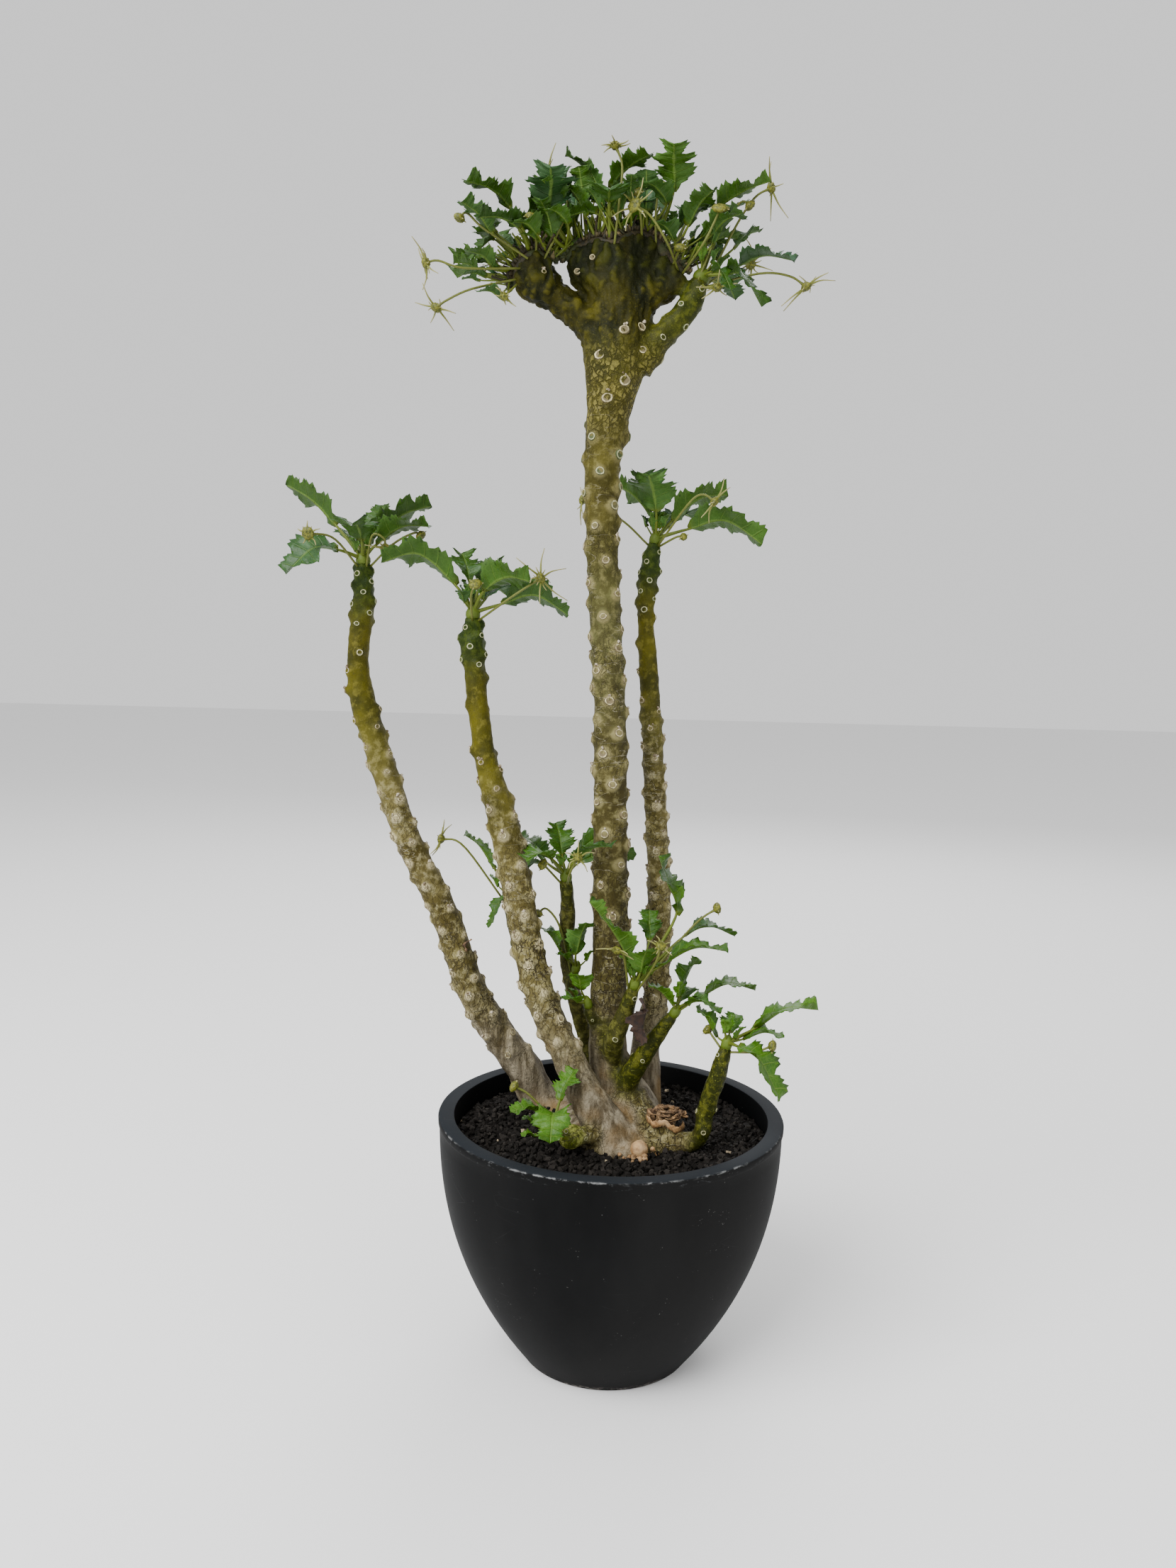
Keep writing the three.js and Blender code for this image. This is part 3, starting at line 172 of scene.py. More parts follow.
FRONT_SHOOT = [[0, 2, 128, 5], [1, -6, 141, 4.6], [5, -11, 154, 3.8], [8, -15, 166, 2.8]]
RIGHT_SHOOT = [[5, -2, 117, 5.5], [12, -8, 132, 4.3], [20, -12, 146, 3.6], [25, -14, 154, 2.6]]
OUTER_SHOOT = [
    [16, -12, 101, 6.5], [30, -19, 100, 5], [37, -25, 106, 4], [39, -26, 117, 3.8],
    [44, -28, 137, 3.8], [46, -28, 145, 2.7],
]
LOW_SHOOT = [[-2, -19, 103, 5.5], [-12, -26, 105, 4], [-18, -29, 106, 3.6], [-23, -31, 108, 2.7]]
CREST_BRANCH = [
    [2, 0, 424, 8], [12, -1, 435, 5.6], [19, -2, 442, 5.2], [24, -3, 449, 5], [27, -4, 457, 3.9],
]

# Stems: the path, the mean rise between leaf scars, their size, the height of the bulge under each,
# the share of the stem below the first one, the stretch below the tip where they are sparse, and how
# mossy the bark is
STEMS = {
    "trunk": {"path": TRUNK, "rise": 2.75, "scar": 1.75, "bulge": 1.45, "from": 0.3},
    "left_stem": {
        "path": LEFT_STEM, "rise": 2.6, "scar": 1.35, "bulge": 1.3, "from": 0.2, "bare": (30, 62),
    },
    "centre_stem": {
        "path": CENTRE_STEM, "rise": 2.6, "scar": 1.35, "bulge": 1.35, "from": 0.22, "bare": (22, 55),
    },
    "right_stem": {
        "path": RIGHT_STEM, "rise": 2.6, "scar": 1.25, "bulge": 1.1, "from": 0.22, "bare": (34, 70),
    },
    "back_shoot": {"path": BACK_SHOOT, "rise": 3.0, "scar": 1.0, "bulge": 0.6, "from": 0.25, "moss": 0.8},
    "thin_shoot": {"path": THIN_SHOOT, "rise": 3.2, "scar": 0.95, "bulge": 0.5, "from": 0.3, "moss": 0.6},
    "side_shoot": {"path": SIDE_SHOOT, "rise": 3.0, "scar": 0.8, "bulge": 0.4, "from": 0.2, "moss": 0.8},
    "trunk_bud": {"path": TRUNK_BUD, "rise": 3.0, "scar": 0.8, "bulge": 0.4, "from": 0.3, "moss": 0.8},
    "front_shoot": {"path": FRONT_SHOOT, "rise": 2.6, "scar": 1.25, "bulge": 0.7, "from": 0.3, "moss": 0.85},
    "right_shoot": {"path": RIGHT_SHOOT, "rise": 3.0, "scar": 1.0, "bulge": 0.5, "from": 0.3, "moss": 1.0},
    "outer_shoot": {"path": OUTER_SHOOT, "rise": 3.2, "scar": 1.0, "bulge": 0.6, "from": 0.35, "moss": 1.0},
    "low_shoot": {"path": LOW_SHOOT, "rise": 3.0, "scar": 0.9, "bulge": 0.4, "from": 0.3, "moss": 0.7},
    "crest_branch": {"path": CREST_BRANCH, "rise": 3.0, "scar": 1.4, "bulge": 0.8, "from": 0.2},
}
# Each leaf scar is turned this far round the stem from the one before, in radians
SCAR_TURN = 2.4

# Caudex: level, half widths across and deep, and centre
CAUDEX = [
    [82, 22, 20, 3, -2], [90, 26, 24, 3, -2], [98, 27, 26, 2, -3], [103, 21, 21, 3, -2],
    [109, 15, 15, 6, 1], [117, 11, 11, 5, 4],
]

# Fans: each ring is a line of [x, z] points across the fan, and half its depth
CENTRE_FAN = [
    {"line": [[-17.5, 399], [-1, 399]], "depth": 8.5},
    {"line": [[-19, 418], [5, 418]], "depth": 10.5},
    {"line": [[-20, 431], [8, 431]], "depth": 11},
    {"line": [[-18.5, 442], [9, 441]], "depth": 9.8},
    {"line": [[-19, 448], [11, 447]], "depth": 9},
    {"line": [[-22, 453], [19, 452]], "depth": 8.5},
    {"line": [[-27, 459], [22, 456]], "depth": 8},
    {
        "line": [
            [-28, 464.5], [-24.5, 469.5], [-16, 471.5], [-8, 470], [0, 474.5], [8, 473.5], [15, 466],
            [21.5, 459.5],
        ],
        "depth": 7,
    },
]
LEFT_FAN = [
    {"line": [[-15, 424], [-6, 443]], "depth": 8},
    {"line": [[-25, 437], [-18.5, 448.5]], "depth": 7.6},
    {"line": [[-34, 444], [-24, 453]], "depth": 7},
    {"line": [[-43, 447.5], [-29, 457]], "depth": 7},
    {"line": [[-49, 453], [-47.5, 460], [-43, 464.5], [-38, 465.5], [-32.5, 463]], "depth": 6.4},
]

# Leaf heads, each at the end of the stem of its name: how light its leaves are, how many young leaves
# crowd its apex and, from the apex, each leaf's base x, y, z, tip x, y, z, width, arch and roll
HEADS = {
    "left_stem": {
        "tone": 0.32, "young": 7,
        "leaves": [
            [-12, 3, 16, -35, 8, 34, 17, 0.08, 40], [-9, -8, 5, -29, -18, -6, 19, 0.2, -30],
            [1, -9, 9, 1, -30, 13, 18, 0.15, 0], [3, 4, 11, 27, 12, 27, 17, 0.1, -35],
            [6, -3, 8, 29, -9, 16, 17, 0.14, -15], [2, 6, 12, 6, 14, 27, 12, 0.1, 0],
            [-4, 9, 9, -12, 30, 13, 16, 0.18, 0],
        ],
    },
    "centre_stem": {
        "tone": 0.34, "young": 6, "seed": 123,
        "leaves": [
            [-7, -1, 13, -38, -8, 22, 17, 0.25, 35], [5, -6, 11, 25, -18, 15, 19, 0.15, -35],
            [12, -2, 6, 41, -6, 2, 16, 0.2, -35], [-2, 3, 15, -6, 10, 28, 15, 0.1, 0],
            [2, 6, 14, 9, 16, 26, 14, 0.1, 0], [-3, -4, 6, -5, -9, 11, 6, 0.1, 0],
            [4, 8, 8, 12, 29, 12, 15, 0.18, 0],
        ],
    },
    "right_stem": {
        "tone": 0.4, "young": 7,
        "leaves": [
            [0, -5, 13, -4, -16, 27, 22, 0.1, 0], [-2, 2, 12, -17, 8, 26, 15, 0.1, 40],
            [0, 8, 15, -7, 20, 33, 18, 0.1, 0], [7, 3, 10, 32, 8, 23, 17, 0.14, -40],
            [14, -4, 6, 46, -10, 0, 18, 0.2, -35], [6, 9, 8, 20, 28, 14, 15, 0.18, 0],
        ],
    },
    "back_shoot": {
        "tone": 0.55, "young": 4,
        "leaves": [
            [-6, -6, 10, -17, -19, 12, 14, 0.15, 0], [-2, 3, 10, -5, 9, 24, 14, 0.1, 0],
            [3, -9, 9, 19, -22, 19, 14, 0.12, 0], [6, 7, 7, 31, 13, 10, 9, 0.1, 70],
            [3, 9, 9, 25, 22, 20, 10, 0.1, 50], [-9, 5, 7, -22, 14, 18, 13, 0.12, 0],
        ],
    },
    "side_shoot": {
        "tone": 0.62, "young": 2,
        "leaves": [
            [-6, -5, 10, -16, -9, 22, 12, 0.1, 0], [0, -8, 9, 4, -14, 25, 12, 0.1, 0],
            [-3, -5, 6, -7, -11, 10, 6, 0.1, 0],
        ],
    },
    "trunk_bud": {
        "tone": 0.66, "young": 1,
        "leaves": [
            [-4, -4, 3, -10, -11, 6, 10, 0.12, 0], [-3, -4, 8, -5, -10, 17, 10, 0.1, 0],
        ],
    },
    "front_shoot": {
        "tone": 0.58, "young": 5,
        "leaves": [
            [-2, -3, 12, -19, -10, 38, 17, 0.06, 0], [6, 5, 18, 6, 10, 31, 11, 0.1, 0],
            [17, 4, 30, 10, 6, 55, 20, 0.06, 0], [10, -4, 10, 38, -10, 19, 14, 0.15, 0],
            [21, 6, 21, 43, 10, 21, 13, 0.18, 0], [2, -6, 7, 4, -13, 19, 12, 0.1, 0],
        ],
    },
    "right_shoot": {
        "tone": 0.72, "young": 3,
        "leaves": [
            [0, -3, 5, -11, -8, 15, 11, 0.1, 0], [3, 5, 9, 10, 8, 23, 12, 0.1, 0],
            [10, 4, 6, 35, 4, 11, 13, 0.18, 0], [4, -4, 6, 19, -10, 4, 11, 0.2, 0],
            [3, 6, 4, 10, 16, 8, 9, 0.1, 0],
        ],
    },
    "outer_shoot": {
        "tone": 0.85, "young": 4,
        "leaves": [
            [-3, 4, 3, -12, 7, 15, 10, 0.1, 0], [2, 6, 4, 5, 15, 10, 10, 0.1, 0],
            [7, 2, 3, 24, 0, 5, 10, 0.15, 0], [12, 4, 7, 37, -2, 18, 18, 0.15, 0],
            [4, -8, 3, 21, -17, -16, 20, 0.2, 0],
        ],
    },
    "low_shoot": {
        "tone": 0.95, "young": 3,
        "leaves": [
            [-1, -3, 9, -2, -19, 3, 16, 0.25, 0], [1, 4, 12, 7, 9, 24, 13, 0.1, 0],
            [-6, 0, 8, -19, -4, 10, 11, 0.15, 0],
        ],
    },
    "thin_shoot": {
        "tone": 0.5, "young": 3,
        "leaves": [
            [-6, -2, 13, -19, -6, 29, 15, 0.12, 0], [5, 2, 10, 12, 10, 24, 12, 0.12, 0],
            [-1, -6, 2, -8, -11, -12, 8, 0.1, 0], [3, 7, 8, 12, 23, 12, 12, 0.18, 0],
        ],
    },
    "crest_branch": {
        "tone": 0.28, "young": 6,
        "leaves": [
            [4, 0, 25, 26, -8, 37, 15, 0.1, 0], [9, 8, 25, 19, 19, 38, 10, 0.1, 0],
            [13, -2, 5, 36, -14, 5, 18, 0.12, 10], [9, -6, 1, 24, -16, -14, 14, 0.25, 0],
            [8, 9, 11, 2, 19, 22, 10, 0.1, 0], [14, 9, 16, 25, 19, 27, 11, 0.1, 0],
            [4, -9, 1, 11, -19, -9, 10, 0.2, 0], [7, 12, 4, 18, 32, 3, 14, 0.2, 0],
        ],
    },
}

# Crest leaves placed one by one: [place along the ridge, row, base x, y, z, tip x, y, z, width]
LEFT_FAN_LEAVES = [
    [0.6, -0.4, -50, -8, 482, -67, -20, 488, 16], [0.55, -0.9, -46, -14, 472, -62, -24, 473, 14],
    [0.25, -0.5, -55, -8, 458, -67, -16, 463, 11], [0.1, -0.6, -52, -7, 447, -63, -14, 448, 8],
    [0.45, 0.8, -50, 8, 470, -61, 18, 481, 10], [0.8, -0.9, -39, -11, 471, -48, -23, 472, 11],
    [0.35, 0, -57, -2, 472, -66, -8, 462, 10],
]
CENTRE_FAN_LEAVES = [
    [0.12, -0.5, -34, -9, 480, -34, -22, 493, 20], [0.1, 0.6, -32, 8, 496, -33, 18, 509, 10],
    [0.3, 0.3, -15, 4, 494, -29, 10, 511, 13], [0.42, -0.3, -10, -4, 492, 5, -14, 502, 14],
    [0.72, -0.3, 15, -5, 491, 14, -17, 505, 18], [0.65, -0.9, 12, -10, 484, 4, -23, 488, 12],
    [0.38, -1, -11, -13, 483, -11, -30, 483, 17], [0.18, 0.8, -25, 8, 487, -22, 17, 504, 13],
    [0.85, -0.5, 21, -7, 477, 30, -17, 488, 13], [0.85, -1, 16, -8, 471, 8, -18, 475, 10],
    [0.62, 0.8, 12, 8, 486, 4, 21, 497, 12], [0.08, -0.9, -27, -11, 475, -35, -21, 478, 9],
]

# Leaves strewn along the back of a ridge: their number, the stretch of ridge and, in degrees,
# how they lean to the side at its two ends
LEFT_FAN_FILL = {"count": 4, "start": 0.05, "end": 0.7, "from": -70, "to": -20}
CENTRE_FAN_FILL = {"count": 7, "start": 0.12, "end": 0.94, "from": -8, "to": 36}
# Each fan with its leaves, its young leaves, the scales of its ridge and the stubs of old stalks
FANS = {
    "left_fan": {
        "rings": LEFT_FAN, "leaves": LEFT_FAN_LEAVES, "fill": LEFT_FAN_FILL, "seed": 400, "young": 20,
        "scales": 260, "stubs": 26,
    },
    "centre_fan": {
        "rings": CENTRE_FAN, "leaves": CENTRE_FAN_LEAVES, "fill": CENTRE_FAN_FILL, "seed": 500, "young": 44,
        "scales": 700, "stubs": 70,
    },
}
# How far the strewn leaves lean back and how much their side lean varies, in degrees, and their size
LEAF_LEAN = [15, 75]
LEAF_LEAN_CHANGE = 10
PETIOLE_REACH = [14, 22]
BLADE_REACH = [15, 22]
BLADE_WIDTH = [11, 16]

# Blooms: the disc's radius, the number of long arms and how far they reach
BUD = (2.4, 3, 0)
STAR = (2.3, 6)
# On a fan: the foot's place along the ridge and its side, the peduncle's points, the way the disc
# faces and its size
FAN_BLOOMS = {
    "left_fan": [
        [0.25, -1, [[-68, -15, 456], [-78, -17, 458], [-83, -17, 457]], [-1, -0.3, -0.3], *STAR, 10],
        [0.1, -1, [[-65, -12, 449], [-75, -13, 444], [-79, -13, 441]], [-0.5, -0.3, -1], *STAR, 9],
        [0.45, -1, [[-61, -7, 474], [-68, -7, 480], [-71, -7, 478]], [-0.5, 0, -1], *BUD],
        [0.85, -1, [[-28, -7, 481], [-30, -6, 493], [-36, -6, 496]], [-1, 0, 0.2], *STAR, 9],
        [0.65, -1, [[-40, -8, 470], [-42, -11, 478]], [0, -0.5, 1], *BUD],
        [0.05, -1, [[-52, -13, 446]], [-0.5, -0.5, -1], 1.8, 5, 4],
        [0.5, 1, [[-52, 22, 468], [-60, 29, 472]], [-0.6, 1, 0], *STAR, 8],
    ],
    "centre_fan": [
        [0.42, -1, [[-7, -13, 482], [-6, -13, 497], [-9, -13, 505]], [0, 0, 1], 2, 6, 5],
        [0.95, -1, [[12, -19, 467], [5, -21, 476], [-1, -22, 479]], [-0.6, -0.7, 0.2], 3, 6, 8],
        [0.75, -1, [[8, -8, 481], [9, -9, 492]], [0, -0.5, 1], 3.4, 4, 0],
        [0.62, -1, [[2, -11, 478], [0, -15, 487]], [0, -0.5, 1], *BUD],
        [0.9, -1, [[18, -12, 467]], [0, -0.5, 1], *BUD],
        [0.98, -1, [[27, -14, 468], [31, -15, 476], [33, -16, 481]], [0, -0.6, 1], 3.4, 4, 0],
        [0.35, 1, [[-3, 22, 480], [-6, 32, 490]], [-0.2, 1, 0.4], *STAR, 8],
        [0.8, 1, [[12, 18, 474], [18, 28, 480]], [0.3, 1, 0], *BUD],
    ],
}
# On a head: the peduncle's points from the apex, the way the disc faces and its size
HEAD_BLOOMS = {
    "crest_branch": [
        [[[7, -3, 19], [15, -2, 30], [19, -2, 29]], [0.7, 0, -0.7], *BUD],
        [[[13, 0, 20], [21, 1, 33], [28, 3, 38]], [1, 0, 0.3], *STAR, 12],
        [[[23, -7, 1], [35, -8, 0], [42, -8, -4]], [0.6, 0, -0.8], *STAR, 12],
        [[[2, -7, -5], [6, -11, -6]], [0, -0.3, -1], 2, 5, 7],
        [[[15, 12, 10], [23, 22, 14]], [0.5, 1, 0], *STAR, 9],
    ],
    "left_stem": [
        [[[-10, -13, 9], [-19, -20, 10]], [-0.3, -1, -0.3], 2.8, 5, 3],
        [[[13, -3, 8], [22, -3, 13], [25, -3, 12]], [0.7, 0, -0.7], *BUD],
        [[[5, -7, 11], [10, -8, 10], [11, -9, 6]], [0, -0.2, -1], 2, 5, 7],
    ],
    "centre_stem": [
        [[[0, -10, 8], [2, -13, 13]], [0, -0.7, 0.7], 2.8, 3, 0],
        [[[17, -14, 8], [29, -15, 16]], [0.7, -0.5, 0.2], *STAR, 11],
    ],
    "right_stem": [
        [[[13, -14, 15], [19, -15, 19], [24, -16, 16]], [0.8, 0, -0.6], *STAR, 9],
        [[[-15, 3, 10], [-32, 2, 18]], [-1, 0, 0.2], *STAR, 8],
        [[[9, -6, 2], [12, -7, 2]], [0.5, -0.2, -1], 1.6, 3, 0],
    ],
    "back_shoot": [
        [[[2, -17, 6], [5, -20, 13]], [0, -1, 0.3], 2, 5, 5],
        [[[-8, -8, 6], [-10, -10, 8]], [-0.5, -0.5, 0.3], *BUD],
    ],
    "side_shoot": [
        [[[-7, -5, 20], [-13, -4, 28], [-17, -4, 26]], [-0.4, 0, -1], *BUD],
    ],
    "thin_shoot": [
        [[[-20, -4, 23], [-30, -4, 26]], [-1, 0, 0.2], *STAR, 8],
    ],
    "front_shoot": [
        [[[-5, -9, 15], [-8, -12, 18]], [-0.3, -0.5, -1], 2, 5, 6],
        [[[8, -9, 12], [10, -11, 20]], [0.2, -0.6, 0.8], 2.2, 5, 4],
        [[[24, 1, 26], [34, 1, 34]], [1, 0, 0.2], *BUD],
    ],
    "outer_shoot": [
        [[[11, -6, 0], [18, -7, 3]], [1, -0.4, 0], *BUD],
        [[[-7, 7, 5]], [-0.6, 0.3, 0.5], *BUD],
    ],
    "low_shoot": [
        [[[-11, 3, 14], [-18, 3, 18]], [-1, 0, 0.5], *BUD],
    ],
}

# The old cut stem at the foot, and the tubers beside it: x, y, z and radius
OLD_CUT = [[18, -11, 102, 5.5], [22, -14, 107, 6], [24, -15.5, 110, 4.6]]
TUBERS = [[15, -25, 98.5, 3.4], [10, -27, 98.5, 3], [8, -31.5, 98, 2.8], [12, -32, 98, 3.2]]
ROUND_TUBER = [11.5, -29, 100.8, 3.7]

# The withered leaf: root, base, tip and width
WITHERED_LEAF = ([10.6, -17.6, 162], [12.5, -19.5, 158], [11, -20, 142], 12.5)

# The dry twig: its stem and its side shoot
TWIG = (
    [[-72.5, 19, 171], [-70, 16, 174], [-66.5, 15, 175.5], [-63.5, 15, 177.5]],
    [[-67, 15, 175.2], [-66, 14.6, 173], [-65.6, 14.4, 172]],
)

# Bark: the size of the grid that fuses it, the share of its faces that is kept, its kinds
VOXEL = 0.8
BARK_KEPT = 0.62
BARK_KINDS = ("tip_green", "olive", "moss", "crest", "silver_foot", "pale_nub", "trunk_bark")

# A scar's ring: share of its radius, height and how much of the pale rim it has
RING_PROFILE = ((1.18, -0.9, 0.0), (1.0, 0.15, 0.6), (0.85, 0.42, 1.0), (0.62, -0.05, 0.1), (0.2, 0.05, 0.25))
RING_SIDES = 10

# The torn stump beside the caudex, its flakes, and the round nub at the end of the low shoot
STUMP = np.array([23, -15, 111])
NUB = np.array([-17, -28, 105])
NUB_RADIUS = 5.8
FLAKE_COUNT = 70

# How far the middle of the neck lies behind its front
NECK_RADIUS = 9.0
# Rings on the front of the neck and fans: x, z, radius and the height of the bulge under each
FRONT_SCARS = [
    [-13.7, 425.4, 2.1, 0.6], [-3.3, 435.4, 2.1, 0.5], [5, 437.9, 1.9, 0.5], [4.5, 428, 1.6, 0.5],
    [-2.4, 415.3, 2.3, 0.8], [-9.8, 408.1, 2.3, 0.8], [-17.8, 464.2, 1.2, 0.9], [-24, 460.5, 1.4, 1],
    [-36, 458, 1.1, 0.6],
]


def mix(a, b, t):
    return a + (b - a) * t


def ease(low, high, value):
    """0 below low, 1 above high and a smooth step between."""
    t = np.clip((value - low) / (high - low), 0, 1)
    return t * t * (3 - 2 * t)


def unit(vector):
    return np.asarray(vector, float) / max(np.linalg.norm(vector), 1e-9)


def seeded(seed):
    """Repeatable random numbers between 0 and 1, the same as those of the solids."""
    state = seed & 0xFFFFFFFF

    def draw():
        nonlocal state
        state = (state * 1664525 + 1013904223) & 0xFFFFFFFF
        return state / 4294967296

    return draw


class Line:
    """A smooth line through points of any dimension, as the solids have it."""

    def __init__(self, points):
        p = np.array(points, float)
        self.p = np.vstack([2 * p[0] - p[1], p, 2 * p[-1] - p[-2]])
        self.spans = len(p) - 1

    def at(self, t):
        place = np.clip(np.asarray(t, float), 0, 1) * self.spans
        i = np.minimum(place.astype(int), self.spans - 1)
        w = (place - i)[..., None]
        p0, p1, p2, p3 = (self.p[i + k] for k in range(4))
        a, b = (p2 - p0) / 2, (p3 - p1) / 2
        return p1 + a * w + (3 * (p2 - p1) - 2 * a - b) * w**2 + (2 * (p1 - p2) + a + b) * w**3

    def along(self, t):
        step = 1e-4
        t = np.asarray(t, float)
        d = self.at(np.minimum(t + step, 1)) - self.at(np.maximum(t - step, 0))
        return d / np.maximum(np.linalg.norm(d, axis=-1, keepdims=True), 1e-12)

    def length(self):
        return np.linalg.norm(np.diff(self.at(np.linspace(0, 1, 200)), axis=0), axis=1).sum()

    def evenly(self, spacing):
        """Points about one spacing apart, measured along x, y and z."""
        t = np.linspace(0, 1, 400)
        p = self.at(t)
        run = np.concatenate([[0], np.cumsum(np.linalg.norm(np.diff(p[:, :3], axis=0), axis=1))])
        count = max(int(run[-1] / spacing), 2) + 1
        return self.at(np.interp(np.linspace(0, run[-1], count), run, t))


class Skin:
    """The points and faces of one piece, gathered shell by shell, with named numbers for each point."""

    def __init__(self, *names):
        self.points = []
        self.faces = []
        self.maps = []
        self.numbers = {name: [] for name in names}
        self.count = 0

    def add(self, points, faces, spread=None, **numbers):
        n = len(points)
        self.points.append(np.asarray(points, float))
        self.faces.extend((np.asarray(f) + self.count).tolist() for f in faces)
        self.maps.append(np.zeros((n, 2)) if spread is None else np.asarray(spread, float))
        for name, values in self.numbers.items():
            values.append(np.broadcast_to(np.asarray(numbers.get(name, 0.0), float), (n,)))
        self.count += n

    def mesh(self, name):
        mesh = bpy.data.meshes.new(name)
        points = np.concatenate(self.points) * MM
        points = np.clip(points, BOX_LOW, BOX_HIGH)
        mesh.from_pydata(points.tolist(), [], self.faces)
        for number, values in self.numbers.items():
            layer = mesh.attributes.new(number, "FLOAT", "POINT")
            layer.data.foreach_set("value", np.concatenate(values).astype(np.float32))
        spread = np.concatenate(self.maps)
        if spread.any():
            corners = np.empty(len(mesh.loops), np.int32)
            mesh.loops.foreach_get("vertex_index", corners)
            layer = mesh.uv_layers.new(name="leaf_map")
            layer.data.foreach_set("uv", spread[corners].astype(np.float32).ravel())
        mesh.polygons.foreach_set("use_smooth", np.ones(len(mesh.polygons), bool))
        mesh.update()
        return mesh


def place(name, mesh, finish, slot, *nodes):
    """Puts a finished mesh in the scene as a piece that stands for the named solids."""
    piece = bpy.data.objects.new(name, mesh)
    bpy.context.scene.collection.objects.link(piece)
    dress(piece, finish, slot, *nodes)


def dress(piece, finish, slot, *nodes):
    """Gives a piece its material, its body and the solids that it stands for. The slot is not used."""
    piece.data.materials.clear()
    piece.data.materials.append(finish)
    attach(piece, "root")
    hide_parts(*nodes)


def rows_of_faces(rows, columns):
    """Quads between one ring of points and the next."""
    r, c = np.meshgrid(np.arange(rows - 1), np.arange(columns), indexing="ij")
    a = r * columns + c
    b = r * columns + (c + 1) % columns
    return np.stack([a, b, b + columns, a + columns], -1).reshape(-1, 4)


def loft(rings):
    """A closed shell through rings of points, each end drawn in to a point."""
    rings = np.asarray(rings, float)
    count, sides = rings.shape[:2]
    points = np.concatenate([rings.reshape(-1, 3), [rings[0].mean(0)], [rings[-1].mean(0)]])
    j = np.arange(sides)
    k = (j + 1) % sides
    foot, top = count * sides, count * sides + 1
    last = (count - 1) * sides
    foot_cap = np.stack([np.full(sides, foot), k, j], -1)
    top_cap = np.stack([np.full(sides, top), last + j, last + k], -1)
    return points, [*rows_of_faces(count, sides), *foot_cap, *top_cap]


def rings_round(centres, radii, sides):
    """Rings of points round a line of centres."""
    centres = np.asarray(centres, float)
    tangents = np.gradient(centres, axis=0)
    tangents /= np.maximum(np.linalg.norm(tangents, axis=1, keepdims=True), 1e-9)
    side = unit(np.cross(tangents[0], (0, 1, 0) if abs(tangents[0][1]) < 0.9 else (1, 0, 0)))
    angle = 2 * np.pi * np.arange(sides) / sides
    rings = []
    for centre, tangent, radius in zip(centres, tangents, radii):
        side = unit(side - tangent * (side @ tangent))
        up = np.cross(tangent, side)
        rings.append(centre + radius * (np.cos(angle)[:, None] * side + np.sin(angle)[:, None] * up))
    return np.array(rings)


def tube(centres, radii, sides):
    """A closed round shell along a line of centres."""
    return loft(rings_round(centres, radii, sides))


def only(piece):
    """Makes one piece the only one that is selected and active."""
    bpy.ops.object.select_all(action="DESELECT")
    piece.select_set(True)
    bpy.context.view_layer.objects.active = piece


def apply_modifier(piece, kind, **settings):
    modifier = piece.modifiers.new(kind.lower(), kind)
    for key, value in settings.items():
        setattr(modifier, key, value)
    only(piece)
    bpy.ops.object.modifier_apply(modifier=modifier.name)


def points_of(mesh):
    flat = np.empty(len(mesh.vertices) * 3, np.float32)
    mesh.vertices.foreach_get("co", flat)
    return flat.reshape(-1, 3).astype(float) / MM


def set_points(mesh, points):
    mesh.vertices.foreach_set("co", (points * MM).astype(np.float32).ravel())
    mesh.update()


def normals_of(mesh):
    flat = np.empty(len(mesh.vertices) * 3, np.float32)
    mesh.vertex_normals.foreach_get("vector", flat)
    return flat.reshape(-1, 3).astype(float)


def grain_noise(points, scale, seed=0.0, stretch=(1, 1, 1)):
    """Smooth noise from -1 to 1 at each point, with features about scale millimetres wide."""
    q = points / scale * np.asarray(stretch) + seed
    return np.array([noise.noise(Vector(p)) for p in q])


def tree_of(points):
    tree = KDTree(len(points))
    for i, p in enumerate(points):
        tree.insert(p, i)
    tree.balance()
    return tree


# Finishes


class Reading:
    """A value that varies over a surface. Arithmetic on it adds Math nodes."""

    def __init__(self, finish, socket):
        self.finish = finish
        self.socket = socket

    def _math(self, operation, *values):
        return self.finish.node("ShaderNodeMath", {"operation": operation}, *values)

    def __add__(self, other):
        return self._math("ADD", self, other)

    __radd__ = __add__

    def __sub__(self, other):
        return self._math("SUBTRACT", self, other)

    def __rsub__(self, other):
        return self._math("SUBTRACT", other, self)

    def __mul__(self, other):
        return self._math("MULTIPLY", self, other)

    __rmul__ = __mul__

    def __pow__(self, other):
        return self._math("POWER", self, other)

    def __abs__(self):
        return self._math("ABSOLUTE", self)

    def over(self, low, high, start=0.0, end=1.0):
        """0 where this is under low, 1 where it is over high and a smooth step between."""
        settings = {"interpolation_type": "SMOOTHSTEP"}
        return self.finish.node("ShaderNodeMapRange", settings, self, low, high, start, end)

    def under(self, high, low):
        """1 where this is under low, 0 where it is over high and a smooth step between."""
        return self.over(low, high, 1.0, 0.0)

    def fraction(self):
        return self._math("FRACT", self)


